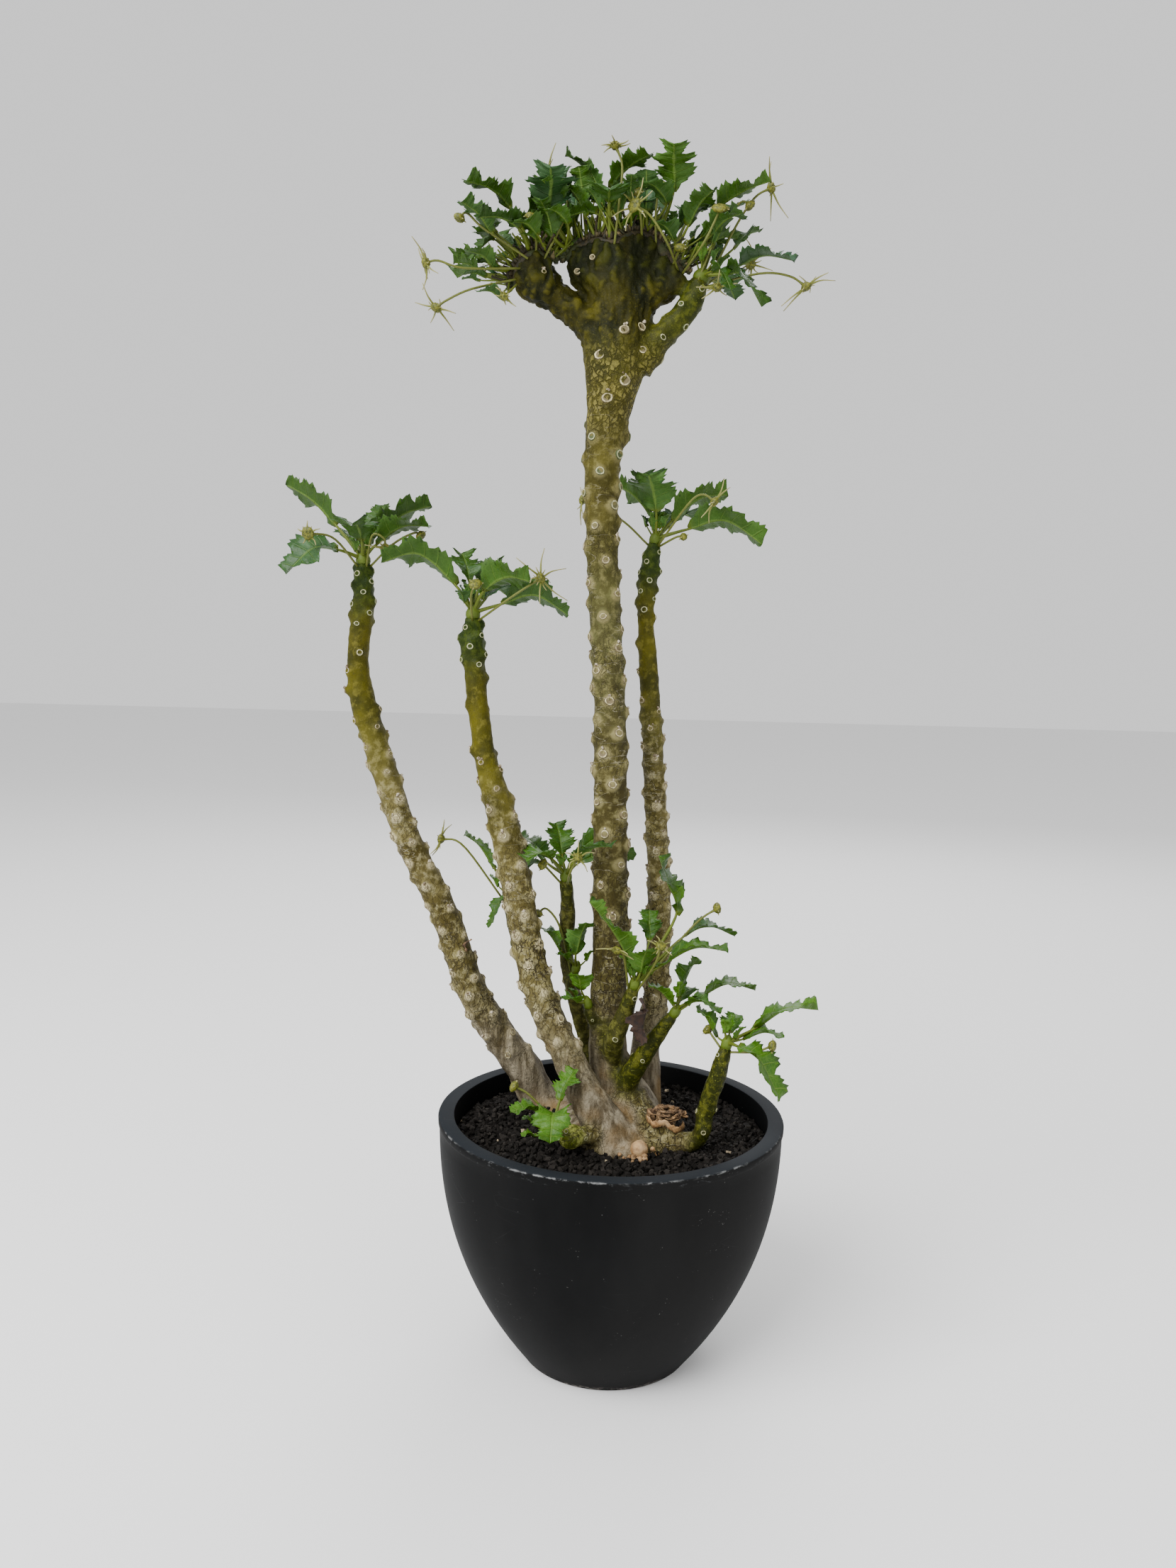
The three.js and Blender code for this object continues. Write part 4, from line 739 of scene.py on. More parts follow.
class Finish:
    """One node material."""

    def __init__(self, name):
        self.material = bpy.data.materials.new(name)
        self.material.use_nodes = True
        self.tree = self.material.node_tree
        self.tree.nodes.clear()
        self.where = self.node("ShaderNodeTexCoord", {}, out="Object")

    def node(self, kind, settings, *values, out=0, **named):
        """Adds a node, sets its properties, then gives its sockets values or links."""
        made = self.tree.nodes.new(kind)
        for key, value in settings.items():
            setattr(made, key, value)
        for key, value in [*enumerate(values), *named.items()]:
            if value is None:
                continue
            socket = made.inputs[key if isinstance(key, int) else key.replace("_", " ")]
            if isinstance(value, Reading):
                self.tree.links.new(value.socket, socket)
            else:
                socket.default_value = value
        return Reading(self, made.outputs[out]) if made.outputs else made

    def number(self, name):
        """A number that the points of the piece carry."""
        return self.node("ShaderNodeAttribute", {"attribute_name": name}, out="Fac")

    def spot(self, stretch=(1, 1, 1), shift=(0, 0, 0)):
        """The place on the piece, in metres, stretched and shifted."""
        moved = self.node("ShaderNodeVectorMath", {"operation": "ADD"}, self.where, shift)
        return self.node("ShaderNodeVectorMath", {"operation": "MULTIPLY"}, moved, stretch)

    def axis(self, name, spot=None):
        return self.node("ShaderNodeSeparateXYZ", {}, spot or self.where, out=name)

    def bent(self, bend, far, spot):
        """A place moved by a noise's colour."""
        return self.node("ShaderNodeVectorMath", {"operation": "MULTIPLY_ADD"}, bend, (far, far, far), spot)

    def noise(self, scale, detail=3.0, rough=0.55, spot=None, out=0):
        sockets = {"Scale": scale, "Detail": detail, "Roughness": rough}
        return self.node("ShaderNodeTexNoise", {}, Vector=spot or self.where, out=out, **sockets)

    def cells(self, scale, spot=None, feature="DISTANCE_TO_EDGE", out="Distance"):
        settings = {"feature": feature}
        return self.node("ShaderNodeTexVoronoi", settings, Vector=spot or self.where, Scale=scale, out=out)

    def blend(self, share, a, b, how="MIX"):
        """Colour a with a share of colour b. Between the share and them lie five unused sockets."""
        settings = {"data_type": "RGBA", "blend_type": how, "clamp_factor": True}
        return self.node("ShaderNodeMix", settings, share, *[None] * 5, a, b, out=2)

    def coats(self, color, *coats):
        """A colour under coats of others, each with its share."""
        for share, coat in coats:
            color = self.blend(share, color, coat)
        return color

    def done(self, color, roughness, height=None, depth=0.0002, strength=1.0, **fixed):
        """Joins the colour, roughness and relief to the surface."""
        normal = None
        if height is not None:
            normal = self.node(
                "ShaderNodeBump", {}, Strength=strength, Distance=depth, Height=height, out="Normal"
            )
        surface = self.node(
            "ShaderNodeBsdfPrincipled", {}, Base_Color=color, Roughness=roughness, Normal=normal, **fixed
        )
        self.node("ShaderNodeOutputMaterial", {}, Surface=surface)
        return self.material


def shade(red, green, blue):
    """An opaque colour."""
    return (red, green, blue, 1.0)


def pot_finish():
    f = Finish("black_pot_plastic")
    x, y, z = (f.axis(name) for name in "XYZ")
    out = (x * x + y * y) ** 0.5
    cloud = f.noise(24.0, 4.0)
    dust = f.noise(9.0, 5.0, spot=f.spot((1, 1, 0.35)))
    speck = f.cells(900.0, feature="F1").under(0.22, 0.1) * f.noise(160.0, 2.0).over(0.62, 0.72)
    scratch = f.cells(42.0, spot=f.spot((1, 1, 3.2), (0.01, 0.02, 0)))
    scratch = scratch.under(0.012, 0.004) * f.noise(30.0, 2.0).over(0.6, 0.7)
    nicks = f.noise(260.0, 4.0, 0.7, spot=f.spot((1, 1, 2.5)))
    lip = (z.over(0.1015, 0.1028) * out.over(0.0735, 0.0744)) * nicks.over(0.58, 0.72)
    edge_wear = f.noise(38.0, 3.0).over(0.42, 0.62)
    lip_edge = z.over(0.1051, 0.1056) * out.over(0.0741, 0.0747) * nicks.over(0.46, 0.62) * edge_wear
    foot = z.under(0.003, 0.0006) * nicks.over(0.48, 0.64)
    # The flat top of the rim is lightened and tinted blue: painted light from above
    top = z.over(0.1055, 0.1059)
    color = f.coats(
        shade(0.0011, 0.0012, 0.0013),
        (cloud.over(0.3, 0.75), shade(0.0026, 0.0028, 0.0031)),
        (dust.over(0.42, 0.74) * 0.55, shade(0.012, 0.0118, 0.0115)),
        (top * 0.7, shade(0.014, 0.017, 0.021)),
        (lip * 0.3, shade(0.1, 0.105, 0.11)),
        (lip_edge * 0.6, shade(0.23, 0.235, 0.235)),
        (foot * 0.6, shade(0.22, 0.2, 0.18)),
        (speck * 0.35, shade(0.2, 0.2, 0.19)),
        (scratch * 0.12, shade(0.08, 0.08, 0.08)),
    )
    rough = cloud * 0.14 + dust * 0.16 + lip_edge * 0.15 + 0.48
    height = f.noise(420.0, 3.0) * 0.25 + nicks * 0.15 - scratch * 0.15
    return f.done(color, rough, height, 0.00012, 0.8, Specular_IOR_Level=0.06)


def soil_finish():
    f = Finish("lava_grit")
    kind = f.number("grain_kind")
    fine = f.noise(700.0, 4.0, 0.7)
    dark = f.blend(f.noise(60.0, 3.0), shade(0.003, 0.0025, 0.002), shade(0.009, 0.0072, 0.0058))
    dark = f.blend(kind.over(0.45, 0.85), dark, shade(0.018, 0.0152, 0.0128))
    pale = f.blend(fine, shade(0.2, 0.13, 0.06), shade(0.4, 0.35, 0.26))
    color = f.blend(kind.over(0.992, 0.993), dark, pale)
    color = f.blend(fine.over(0.55, 0.8) * 0.5, color, f.blend(0.3, color, shade(0.07, 0.06, 0.05)))
    return f.done(color, fine * 0.2 + 0.72, fine, 0.0006, 1.0, Specular_IOR_Level=0.12)


def bark_finish():
    f = Finish("scarred_bark")
    green, olive, crest, foot, moss, lump, nub, torn = (
        f.number(name)
        for name in ("tip_green", "olive", "crest", "silver_foot", "moss", "lump", "pale_nub", "torn")
    )
    bulge = f.number("bulge")
    z = f.axis("Z")
    blotch = f.noise(70.0, 4.0, 0.6)
    mottle = f.noise(320.0, 4.0, 0.65)
    grit = f.noise(1300.0, 3.0, 0.6)
    fibre = f.noise(230.0, 4.0, 0.65, spot=f.spot((1, 1, 0.16)))
    patch = f.noise(52.0, 2.0)
    bend = f.noise(190.0, 3.0, out="Color")
    dashes = f.cells(430.0, spot=f.bent(bend, 0.006, f.spot((1, 1, 0.34))))
    scales = f.cells(360.0, spot=f.bent(bend, 0.006, f.spot((1, 1, 0.8))))
    level = abs(f.noise(190.0, 3.0, spot=f.spot((0.3, 0.3, 1.0))) - 0.5)
    plain = (1 - green) * (1 - crest) * (1 - moss) * (1 - foot * 0.85)
    smooth = plain * (1 - olive * 0.5)
    low = z.under(0.23, 0.16)
    brown = 1 - olive
    net = dashes.under(0.06, 0.02) * (patch.over(0.44, 0.58) * 0.45 + low * 0.85) * plain * (1 - olive * 0.85)
    neck = z.over(0.385, 0.41) * z.under(0.437, 0.42) * (1 - crest * 0.6)
    some = patch.over(0.5, 0.62)
    plates = scales.over(0.05, 0.16) * (neck * 0.9 + some * 0.35 * smooth * brown) * mottle.over(0.38, 0.52)
    seams = scales.under(0.07, 0.02) * (neck * 0.8 + some * 0.3 * plain * brown)
    wrinkles = level.under(0.016, 0.005) * patch.over(0.42, 0.56) * plain * brown
    # The bark of the stems, and the silver and ochre of the foot
    bark = f.coats(
        shade(0.05, 0.039, 0.007),
        (blotch.over(0.32, 0.68), shade(0.14, 0.118, 0.042)),
        (z.over(0.24, 0.31) * z.under(0.37, 0.33) * blotch, shade(0.135, 0.145, 0.065)),
        (mottle.over(0.48, 0.66) * 0.6, shade(0.27, 0.24, 0.125)),
        # Paler over each bulge, partly the bark's own tone and partly painted highlight, and darker in the
        # hollows between the bulges: painted shade
        (bulge.over(0.25, 0.9) * 0.7, shade(0.4, 0.35, 0.2)),
        (bulge.under(0.2, 0.0) * mottle.under(0.6, 0.4) * 0.5, shade(0.045, 0.034, 0.007)),
    )
    bark = f.blend(f.number("trunk_bark"), bark, shade(0.52, 0.52, 0.4), "MULTIPLY")
    silver = f.coats(
        shade(0.058, 0.044, 0.024),
        (fibre.over(0.35, 0.68), shade(0.25, 0.215, 0.15)),
        (f.noise(32.0, 3.0).over(0.5, 0.66) * 0.7, shade(0.17, 0.105, 0.038)),
    )
    # The olive and green of the upper stems, and the moss of the shoots
    ripe = f.coats(
        shade(0.024, 0.023, 0.0004),
        (blotch.over(0.3, 0.7), shade(0.074, 0.065, 0.0012)),
        (mottle.over(0.5, 0.7) * 0.5, shade(0.15, 0.132, 0.02)),
    )
    tip = f.blend(mottle.over(0.4, 0.7), shade(0.009, 0.019, 0.0006), shade(0.034, 0.052, 0.003))
    mossy = f.coats(
        shade(0.013, 0.017, 0.0004),
        (mottle.over(0.45, 0.62), shade(0.056, 0.06, 0.0018)),
        (grit.over(0.6, 0.7) * 0.6, shade(0.2, 0.215, 0.028)),
    )
    pale_green = f.blend(mottle.over(0.4, 0.6), shade(0.07, 0.086, 0.006), shade(0.3, 0.32, 0.07))
    # The lumpy olive skin of the fans, darker under the ridges, with painted highlight on the tops of the
    # lumps and painted shade in the creases between them
    streak = f.noise(95.0, 5.0, 0.65, spot=f.spot((1, 1, 0.45)))
    top = z.over(0.447, 0.463) * (blotch.over(0.3, 0.48) * 0.5 + 0.5)
    fan = f.coats(
        shade(0.0042, 0.0054, 0.0001),
        (streak.over(0.38, 0.62), shade(0.024, 0.0215, 0.0004)),
        # Painted highlight on the tops of the lumps
        (lump.over(0.5, 0.95) * 0.6, shade(0.068, 0.06, 0.0022)),
        (grit.over(0.56, 0.7) * 0.22, shade(0.13, 0.115, 0.012)),
        (top * 0.85, f.blend(lump.over(0.4, 0.8), shade(0.0032, 0.005, 0.0001), shade(0.015, 0.019, 0.0004))),
        # Painted shade in the creases between the lumps
        (lump.under(0.25, 0.08) * 0.7, shade(0.0036, 0.0038, 0.0001)),
    )
    wood = f.blend(mottle.over(0.4, 0.6), shade(0.1, 0.05, 0.02), shade(0.36, 0.24, 0.13))
    color = f.coats(
        bark,
        (foot, silver),
        (olive, ripe),
        (green, tip),
        (moss * 0.95, mossy),
        (nub, pale_green),
        (crest, fan),
        (wrinkles * 0.4, shade(0.33, 0.3, 0.2)),
        (plates * 0.4, shade(0.25, 0.215, 0.06)),
        (seams * 0.6, shade(0.04, 0.034, 0.008)),
        (net * 0.85, shade(0.035, 0.027, 0.012)),
        (torn, wood),
        (grit.under(0.42, 0.3) * 0.35, shade(0.03, 0.026, 0.012)),
    )
    rough = mottle * 0.2 + smooth * 0.12 + crest * 0.1 + 0.42
    height = mottle * 0.5 + grit * 0.3 + fibre * 0.5 * foot
    height = height - net * 0.9 + plates * 0.6 - seams * 0.5 + wrinkles * 0.4
    return f.done(color, rough, height, 0.0008, 1.0, Specular_IOR_Level=0.1)


def scar_finish():
    f = Finish("leaf_scar_rings")
    rim, fresh, crumb = f.number("scar_rim"), f.number("scar_fresh"), f.number("crumb")
    fine = f.noise(700.0, 3.0)
    edge = f.blend(fine.over(0.35, 0.65), shade(0.16, 0.13, 0.055), shade(0.48, 0.43, 0.25))
    edge = f.blend(fresh * 0.6, edge, shade(0.34, 0.36, 0.2))
    pit = f.blend(fine, shade(0.055, 0.04, 0.015), shade(0.16, 0.125, 0.06))
    pit = f.blend(fresh, pit, shade(0.035, 0.05, 0.01))
    bud = f.blend(fine.over(0.4, 0.6), shade(0.09, 0.06, 0.03), shade(0.38, 0.33, 0.24))
    color = f.coats(pit, (rim.over(0.4, 0.8), edge), (crumb, bud))
    return f.done(color, fine * 0.2 + 0.55, fine, 0.0004, 0.8, Specular_IOR_Level=0.35)


def ridge_finish():
    f = Finish("growing_ridge_scales")
    tone = f.number("scale_tone")
    fine = f.noise(520.0, 4.0, 0.65)
    color = f.coats(
        shade(0.009, 0.009, 0.003),
        (fine.over(0.35, 0.7), shade(0.04, 0.028, 0.009)),
        (f.noise(90.0, 2.0).over(0.5, 0.64) * 0.7, shade(0.022, 0.033, 0.005)),
        (tone.over(0.5, 1.0), shade(0.13, 0.1, 0.04)),
    )
    return f.done(color, fine * 0.25 + 0.55, fine, 0.0005, 0.9, Specular_IOR_Level=0.3)


def leaf_finish():
    f = Finish("leaf_blade")
    tone, stalk, under, blue = (f.number(name) for name in LEAF_NUMBERS)
    chart = f.node("ShaderNodeUVMap", {"uv_map": "leaf_map"})
    run, over = f.axis("X", chart), f.axis("Y", chart)
    out = abs(over - 0.5) * 2
    side_vein = abs((run * LEAF_CHART).fraction() - 0.5).over(0.41, 0.485) * out.under(0.95, 0.5)
    midrib = out.under(0.12, 0.04)
    net = f.cells(560.0).under(0.12, 0.02)
    cloud = f.noise(130.0, 3.0)
    deep = f.blend(tone, shade(0.004, 0.015, 0.0002), shade(0.021, 0.072, 0.0006))
    lit = f.blend(tone, shade(0.0095, 0.035, 0.0004), shade(0.044, 0.125, 0.0018))
    dull = f.blend(tone, shade(0.015, 0.05, 0.0004), shade(0.068, 0.155, 0.003))
    bluish = f.blend(cloud, shade(0.006, 0.03, 0.01), shade(0.032, 0.092, 0.04))
    sheen = (1 - under) * f.noise(300.0, 3.0).over(0.5, 0.66) * (1 - tone) * 0.5
    petiole = f.blend(cloud, shade(0.04, 0.06, 0.003), shade(0.115, 0.145, 0.012))
    color = f.coats(
        deep,
        (cloud.over(0.3, 0.75), lit),
        (under * 0.4, dull),
        (blue * (1 - under * 0.6), bluish),
        (sheen, shade(0.045, 0.105, 0.055)),
        (side_vein * (tone * 0.45 + 0.03), shade(0.12, 0.2, 0.025)),
        (net * (tone * 0.2), shade(0.12, 0.2, 0.03)),
        (midrib * (under * 0.25 + 0.3), shade(0.11, 0.18, 0.024)),
        (stalk, petiole),
    )
    rough = cloud * 0.14 + under * 0.12 + 0.36
    quilt = f.noise(520.0, 2.0) * 0.5 + cloud * 0.2 + (side_vein + midrib) * (under * 2 - 1) * 0.5
    return f.done(color, rough, quilt, 0.0006, 0.8, Specular_IOR_Level=0.22)


def bloom_finish():
    f = Finish("bloom_disc_and_arms")
    part = f.number("bloom_part")
    fine = f.noise(900.0, 3.0)
    stalk = f.blend(fine, shade(0.045, 0.058, 0.004), shade(0.12, 0.13, 0.015))
    disc = f.blend(fine.over(0.35, 0.65), shade(0.04, 0.048, 0.002), shade(0.14, 0.14, 0.01))
    arm = f.blend(part.over(0.7, 1.0), shade(0.12, 0.13, 0.015), shade(0.25, 0.23, 0.09))
    color = f.coats(stalk, (part.over(0.2, 0.35), disc), (part.over(0.55, 0.65), arm))
    return f.done(color, fine * 0.2 + 0.5, fine, 0.0002, 0.8, Specular_IOR_Level=0.35)


def dry_finish():
    f = Finish("dry_brown_tissue")
    fine = f.noise(480.0, 5.0, 0.7)
    broad = f.noise(90.0, 3.0)
    color = f.coats(
        shade(0.01, 0.004, 0.0025),
        (fine.over(0.3, 0.7), shade(0.045, 0.02, 0.009)),
        (broad.over(0.55, 0.7) * 0.3, shade(0.1, 0.055, 0.022)),
    )
    return f.done(color, fine * 0.2 + 0.7, fine, 0.0006, 1.0)


def husk_finish():
    f = Finish("tan_husk_and_tubers")
    brown = f.number("brown")
    fine = f.noise(420.0, 5.0, 0.7)
    dark = f.blend(fine.over(0.4, 0.65), shade(0.035, 0.018, 0.008), shade(0.22, 0.13, 0.065))
    color = f.coats(
        shade(0.13, 0.06, 0.02),
        (fine.over(0.3, 0.7), shade(0.4, 0.235, 0.095)),
        (f.noise(110.0, 2.0).over(0.5, 0.66) * 0.6, shade(0.45, 0.32, 0.18)),
        (brown, dark),
    )
    return f.done(color, fine * 0.2 + 0.62, fine, 0.0006, 1.0, Specular_IOR_Level=0.3)


# Pot


def pot_radius(z):
    return POT_RIM_RADIUS - (POT_RIM_RADIUS - POT_BASE_RADIUS) * (1 - z / POT_HEIGHT) ** POT_BULGE


def pot_inner_radius(z):
    return min(pot_radius(z) - POT_LIP_STEP - POT_WALL, POT_RIM_RADIUS - POT_RIM_WIDTH)


def pot_profile():
    """Radius and level up the outside, over the rim and down the inside."""
    lip = POT_HEIGHT - POT_LIP_HEIGHT
    profile = [(POT_BASE_RADIUS - 0.9, 0.0), (POT_BASE_RADIUS - 0.2, 0.3)]
    profile += [(pot_radius(1.2) - POT_LIP_STEP, 1.2)]
    profile += [(pot_radius(z) - POT_LIP_STEP, z) for z in np.linspace(4, lip - 0.4, 26)]
    profile += [(POT_RIM_RADIUS - 0.35, lip + 0.2), (POT_RIM_RADIUS - 0.1, lip + 0.8)]
    profile += [(POT_RIM_RADIUS, POT_HEIGHT - 0.9), (POT_RIM_RADIUS - 0.25, POT_HEIGHT - 0.3)]
    profile += [(POT_RIM_RADIUS - 0.9, POT_HEIGHT), (POT_RIM_RADIUS - POT_RIM_WIDTH + 0.8, POT_HEIGHT)]
    profile += [(POT_RIM_RADIUS - POT_RIM_WIDTH + 0.2, POT_HEIGHT - 0.2)]
    levels = [POT_HEIGHT - 0.9, *np.linspace(POT_HEIGHT - POT_RIM_DEPTH, POT_FLOOR + 2, 14)]
    profile += [(pot_inner_radius(z), z) for z in levels]
    profile += [(pot_inner_radius(POT_FLOOR + 2) - 2, POT_FLOOR)]
    return profile


def make_pot():
    """A disc is extruded and resized step by step up the outside and down the inside."""
    profile = pot_profile()
    bpy.ops.object.select_all(action="DESELECT")
    radius, level = profile[0]
    bpy.ops.mesh.primitive_circle_add(
        vertices=POT_SIDES, radius=radius * MM, fill_type="NGON", location=(0, 0, 0)
    )
    pot = bpy.context.object
    pot.name = "pot_shell"
    bpy.ops.object.mode_set(mode="EDIT")
    bpy.ops.mesh.select_all(action="SELECT")
    for next_radius, next_level in profile[1:]:
        rise = (0, 0, (next_level - level) * MM)
        bpy.ops.mesh.extrude_region_move(TRANSFORM_OT_translate={"value": rise})
        share = next_radius / radius
        bpy.ops.transform.resize(value=(share, share, 1), center_override=(0, 0, next_level * MM))
        radius, level = next_radius, next_level
    bpy.ops.mesh.select_all(action="SELECT")
    bpy.ops.mesh.normals_make_consistent(inside=False)
    bpy.ops.object.mode_set(mode="OBJECT")
    drills = []
    for i in range(DRAIN_HOLES):
        angle = 2 * math.pi * i / DRAIN_HOLES
        spot = (DRAIN_CIRCLE * MM * math.cos(angle), DRAIN_CIRCLE * MM * math.sin(angle), 0)
        bpy.ops.object.select_all(action="DESELECT")
        bpy.ops.mesh.primitive_cylinder_add(
            vertices=32, radius=DRAIN_RADIUS * MM, depth=4 * POT_FLOOR * MM, location=spot
        )
        drills.append(bpy.context.object)
    for drill in drills:
        apply_modifier(pot, "BOOLEAN", operation="DIFFERENCE", object=drill, solver="EXACT")
        bpy.data.objects.remove(drill)
    only(pot)
    bpy.ops.object.shade_smooth_by_angle(angle=math.radians(35))
    dress(pot, pot_finish(), "pot_plastic", "pot")


# Soil


def soil_height(x, y):
    """The level of the soil: a low mound, gently rolling."""
    out = math.hypot(x, y) / (POT_RIM_RADIUS - POT_RIM_WIDTH)
    rise = SOIL_MOUND * (1 - out)
    broad = 0.9 * noise.noise(Vector((x / 14, y / 14, 3.1)))
    small = 0.35 * noise.noise(Vector((x / 4, y / 4, 8.7)))
    return SOIL_LEVEL + rise + (broad + small)


def add_bed(skin):
    """A filled bed that follows the pot's inside."""
    turn = 2 * np.pi * np.arange(BED_SIDES) / BED_SIDES
    rings = []
    for z in BED_LEVELS:
        radius = pot_inner_radius(max(z, POT_FLOOR + 2)) - 2 * SOIL_GAP - (2 if z == POT_FLOOR else 0)
        level = np.full(BED_SIDES, z + SOIL_GAP)
        rings.append(np.stack([radius * np.cos(turn), radius * np.sin(turn), level], -1))
    for share in np.linspace(1, 0.02, 46):
        x, y = SOIL_TOP_RADIUS * share * np.cos(turn), SOIL_TOP_RADIUS * share * np.sin(turn)
        z = np.array([soil_height(a, b) for a, b in zip(x, y)]) - 0.8
        rings.append(np.stack([x, y, z], -1))
    skin.add(*loft(rings), grain_kind=0.1)


def pattern_of(add, **settings):
    """The corners and faces of a primitive, which doesn't stay in the scene."""
    bpy.ops.object.select_all(action="DESELECT")
    add(location=(0, 0, 0), **settings)
    pattern = bpy.context.object
    corners = np.array([v.co for v in pattern.data.vertices])
    faces = [tuple(p.vertices) for p in pattern.data.polygons]
    bpy.data.objects.remove(pattern)
    return corners, faces


def add_grains(skin):
    """Separate angular grains over the bed, none where the caudex stands."""
    patterns = [
        pattern_of(bpy.ops.mesh.primitive_ico_sphere_add, subdivisions=1, radius=1.05),
        pattern_of(bpy.ops.mesh.primitive_cube_add, size=1.45),
    ]
    rng = np.random.default_rng(23)
    for _ in range(GRAIN_COUNT):
        out = (SOIL_TOP_RADIUS - 1) * math.sqrt(rng.random())
        angle = rng.random() * 2 * math.pi
        x, y = out * math.cos(angle), out * math.sin(angle)
        if ((x - 2) / 22) ** 2 + ((y + 3) / 20) ** 2 < 1:
            continue
        size = mix(0.7, 1.75, rng.random() ** 1.5)
        corners, faces = patterns[int(rng.random() < 0.6)]
        form = corners * rng.uniform(0.55, 1.05, 3) * size
        form = form * (1 + 0.17 * rng.standard_normal((len(corners), 1)))
        tilt = np.array(Matrix.Rotation(rng.random() * TURN, 3, Vector(rng.standard_normal(3))))
        kind = rng.random()
        level = soil_height(x, y) - 0.3 + rng.random() * 0.9
        skin.add(form @ tilt.T + (x, y, level), faces, grain_kind=kind)


def make_soil():
    """The bed of soil, strewn with grains of grit."""
    skin = Skin("grain_kind")
    add_bed(skin)
    add_grains(skin)
    mesh = skin.mesh("grit_bed")
    mesh.polygons.foreach_set("use_smooth", np.zeros(len(mesh.polygons), bool))
    place("grit_bed", mesh, soil_finish(), "soil_grit", "soil")


# Stems


def fan_sway(x, rise):
    """How far a fan's wave carries it back at x, more the higher up it is."""
    return FAN_WAVE * rise * np.sin(x / FAN_WAVE_LENGTH)


def fan_line(line):
    return Line([[x, 0, z] for x, z in line])


def fan_ring(line, depth, rise, lift=0.0, inset=0.0, stations=40):
    """Points round one level of a fan: its front from left to right, then its back."""
    curve = fan_line(line)
    shrink = 1 - 2 * inset / curve.length()
    across = -np.cos(np.pi * np.arange(stations + 1) / stations)
    spot = (across * shrink + 1) / 2
    along = curve.along(spot)
    p = curve.at(spot) + lift * np.stack([-along[:, 2], 0 * spot, along[:, 0]], -1)
    half = np.sqrt(np.maximum(1 - across**2, 0)) * (depth - inset)
    sway = fan_sway(p[:, 0], rise)
    front = np.stack([p[:, 0], sway - half, p[:, 2]], -1)
    back = np.stack([p[:, 0], sway + half, p[:, 2]], -1)[1:-1][::-1]
    return np.concatenate([front, back])


def fan_shell(fan):
    """The smooth closed shell of a fan, through its rings."""
    levels = [fan_ring(ring["line"], ring["depth"], i / (len(fan) - 1)) for i, ring in enumerate(fan)]
    smooth = Line(np.array(levels).reshape(len(levels), -1))
    rings = smooth.at(np.linspace(0, 1, 6 * (len(fan) - 1) + 1))
    return loft(rings.reshape(len(rings), -1, 3))


def ridge_point(fan, spot, row):
    """A point on a ridge: its place along it from 0 to 1, and its row from front to back, -1 to 1."""
    ring = fan[-1]
    curve = fan_line(ring["line"])
    along = curve.along(spot)
    p = curve.at(spot) + (RIDGE_GAP + RIDGE_HEIGHT / 2) * np.array([-along[2], 0, along[0]])
    half = 2 * math.sqrt(max(spot - spot * spot, 0))
    return np.array([p[0], fan_sway(p[0], 1) + row * half * (ring["depth"] - 3 * RIDGE_INSET), p[2]])


def caudex_shell():
    """The lobed swelling at the foot."""
    draw = seeded(7)
    lobes = np.array([1 + 0.08 * mix(-1, 1, draw()) for _ in range(12)])
    turn = np.linspace(0, 2 * np.pi, 48, endpoint=False)
    lobe = Line(np.append(lobes, lobes[0])[:, None]).at(turn / (2 * np.pi))[:, 0]
    levels = Line(CAUDEX).at(np.linspace(0, 1, 26))
    rings = [
        np.stack([x + np.cos(turn) * wide * lobe, y + np.sin(turn) * deep * lobe, np.full(48, z)], -1)
        for z, wide, deep, x, y in levels
    ]
    return loft(rings)


def stem_samples():
    """Points along every stem as x, y, z, radius, distance to the tip and stem number."""
    rows = []
    for number, stem in enumerate(STEMS.values()):
        p = Line(stem["path"]).evenly(1.0)
        run = np.concatenate([[0], np.cumsum(np.linalg.norm(np.diff(p[:, :3], axis=0), axis=1))])
        for q, s in zip(p, run):
            rows.append([*q, run[-1] - s, number])
    return np.array(rows)


def scar_spots():
    """Where each leaf scar sits: centre of the stem there, way out, way along, radius, size, bulge."""
    spots = []
    rng = np.random.default_rng(5)
    for stem in STEMS.values():
        line = Line(stem["path"])
        p = line.evenly(0.5)
        run = np.concatenate([[0], np.cumsum(np.linalg.norm(np.diff(p[:, :3], axis=0), axis=1))])
        total = run[-1]
        s = total * stem["from"]
        i = 0
        while s < total - 1.2:
            q = np.array([np.interp(s, run, p[:, k]) for k in range(4)])
            ahead = np.array([np.interp(min(s + 1, total), run, p[:, k]) for k in range(3)])
            along = unit(ahead - q[:3]) if s < total - 1 else along
            across = unit(np.cross((0, 1, 0), along))
            side = np.cross(along, across)
            angle = i * SCAR_TURN + rng.normal(0, 0.12)
            out = math.cos(angle) * across + math.sin(angle) * side
            left = total - s
            bare = stem.get("bare")
            sparse = 0.62 if bare and bare[0] < left < bare[1] else 0.5 if "moss" in stem else 0
            thin = rng.random() < sparse
            size = stem["scar"] * rng.uniform(0.85, 1.15)
            if not thin:
                spots.append((q[:3], out, along, q[3], size, stem["bulge"] * rng.uniform(0.75, 1.2), left))
            s += stem["rise"] * (0.62 if bare and left < bare[0] else 1) * rng.uniform(0.85, 1.15)
            i += 1
    return spots


def front_scars(surface):
    """The few large rings on the neck and the fans, each put on the foremost bark there."""
    spots = []
    forward, up = np.array([0, -1.0, 0]), np.array([0, 0, 1.0])
    for x, z, size, bulge in FRONT_SCARS:
        near = np.hypot(surface[:, 0] - x, surface[:, 2] - z) < 1.6
        centre = np.array([x, surface[near, 1].min() + NECK_RADIUS, z])
        spots.append((centre, forward, up, NECK_RADIUS, size, bulge, 50))
    return spots


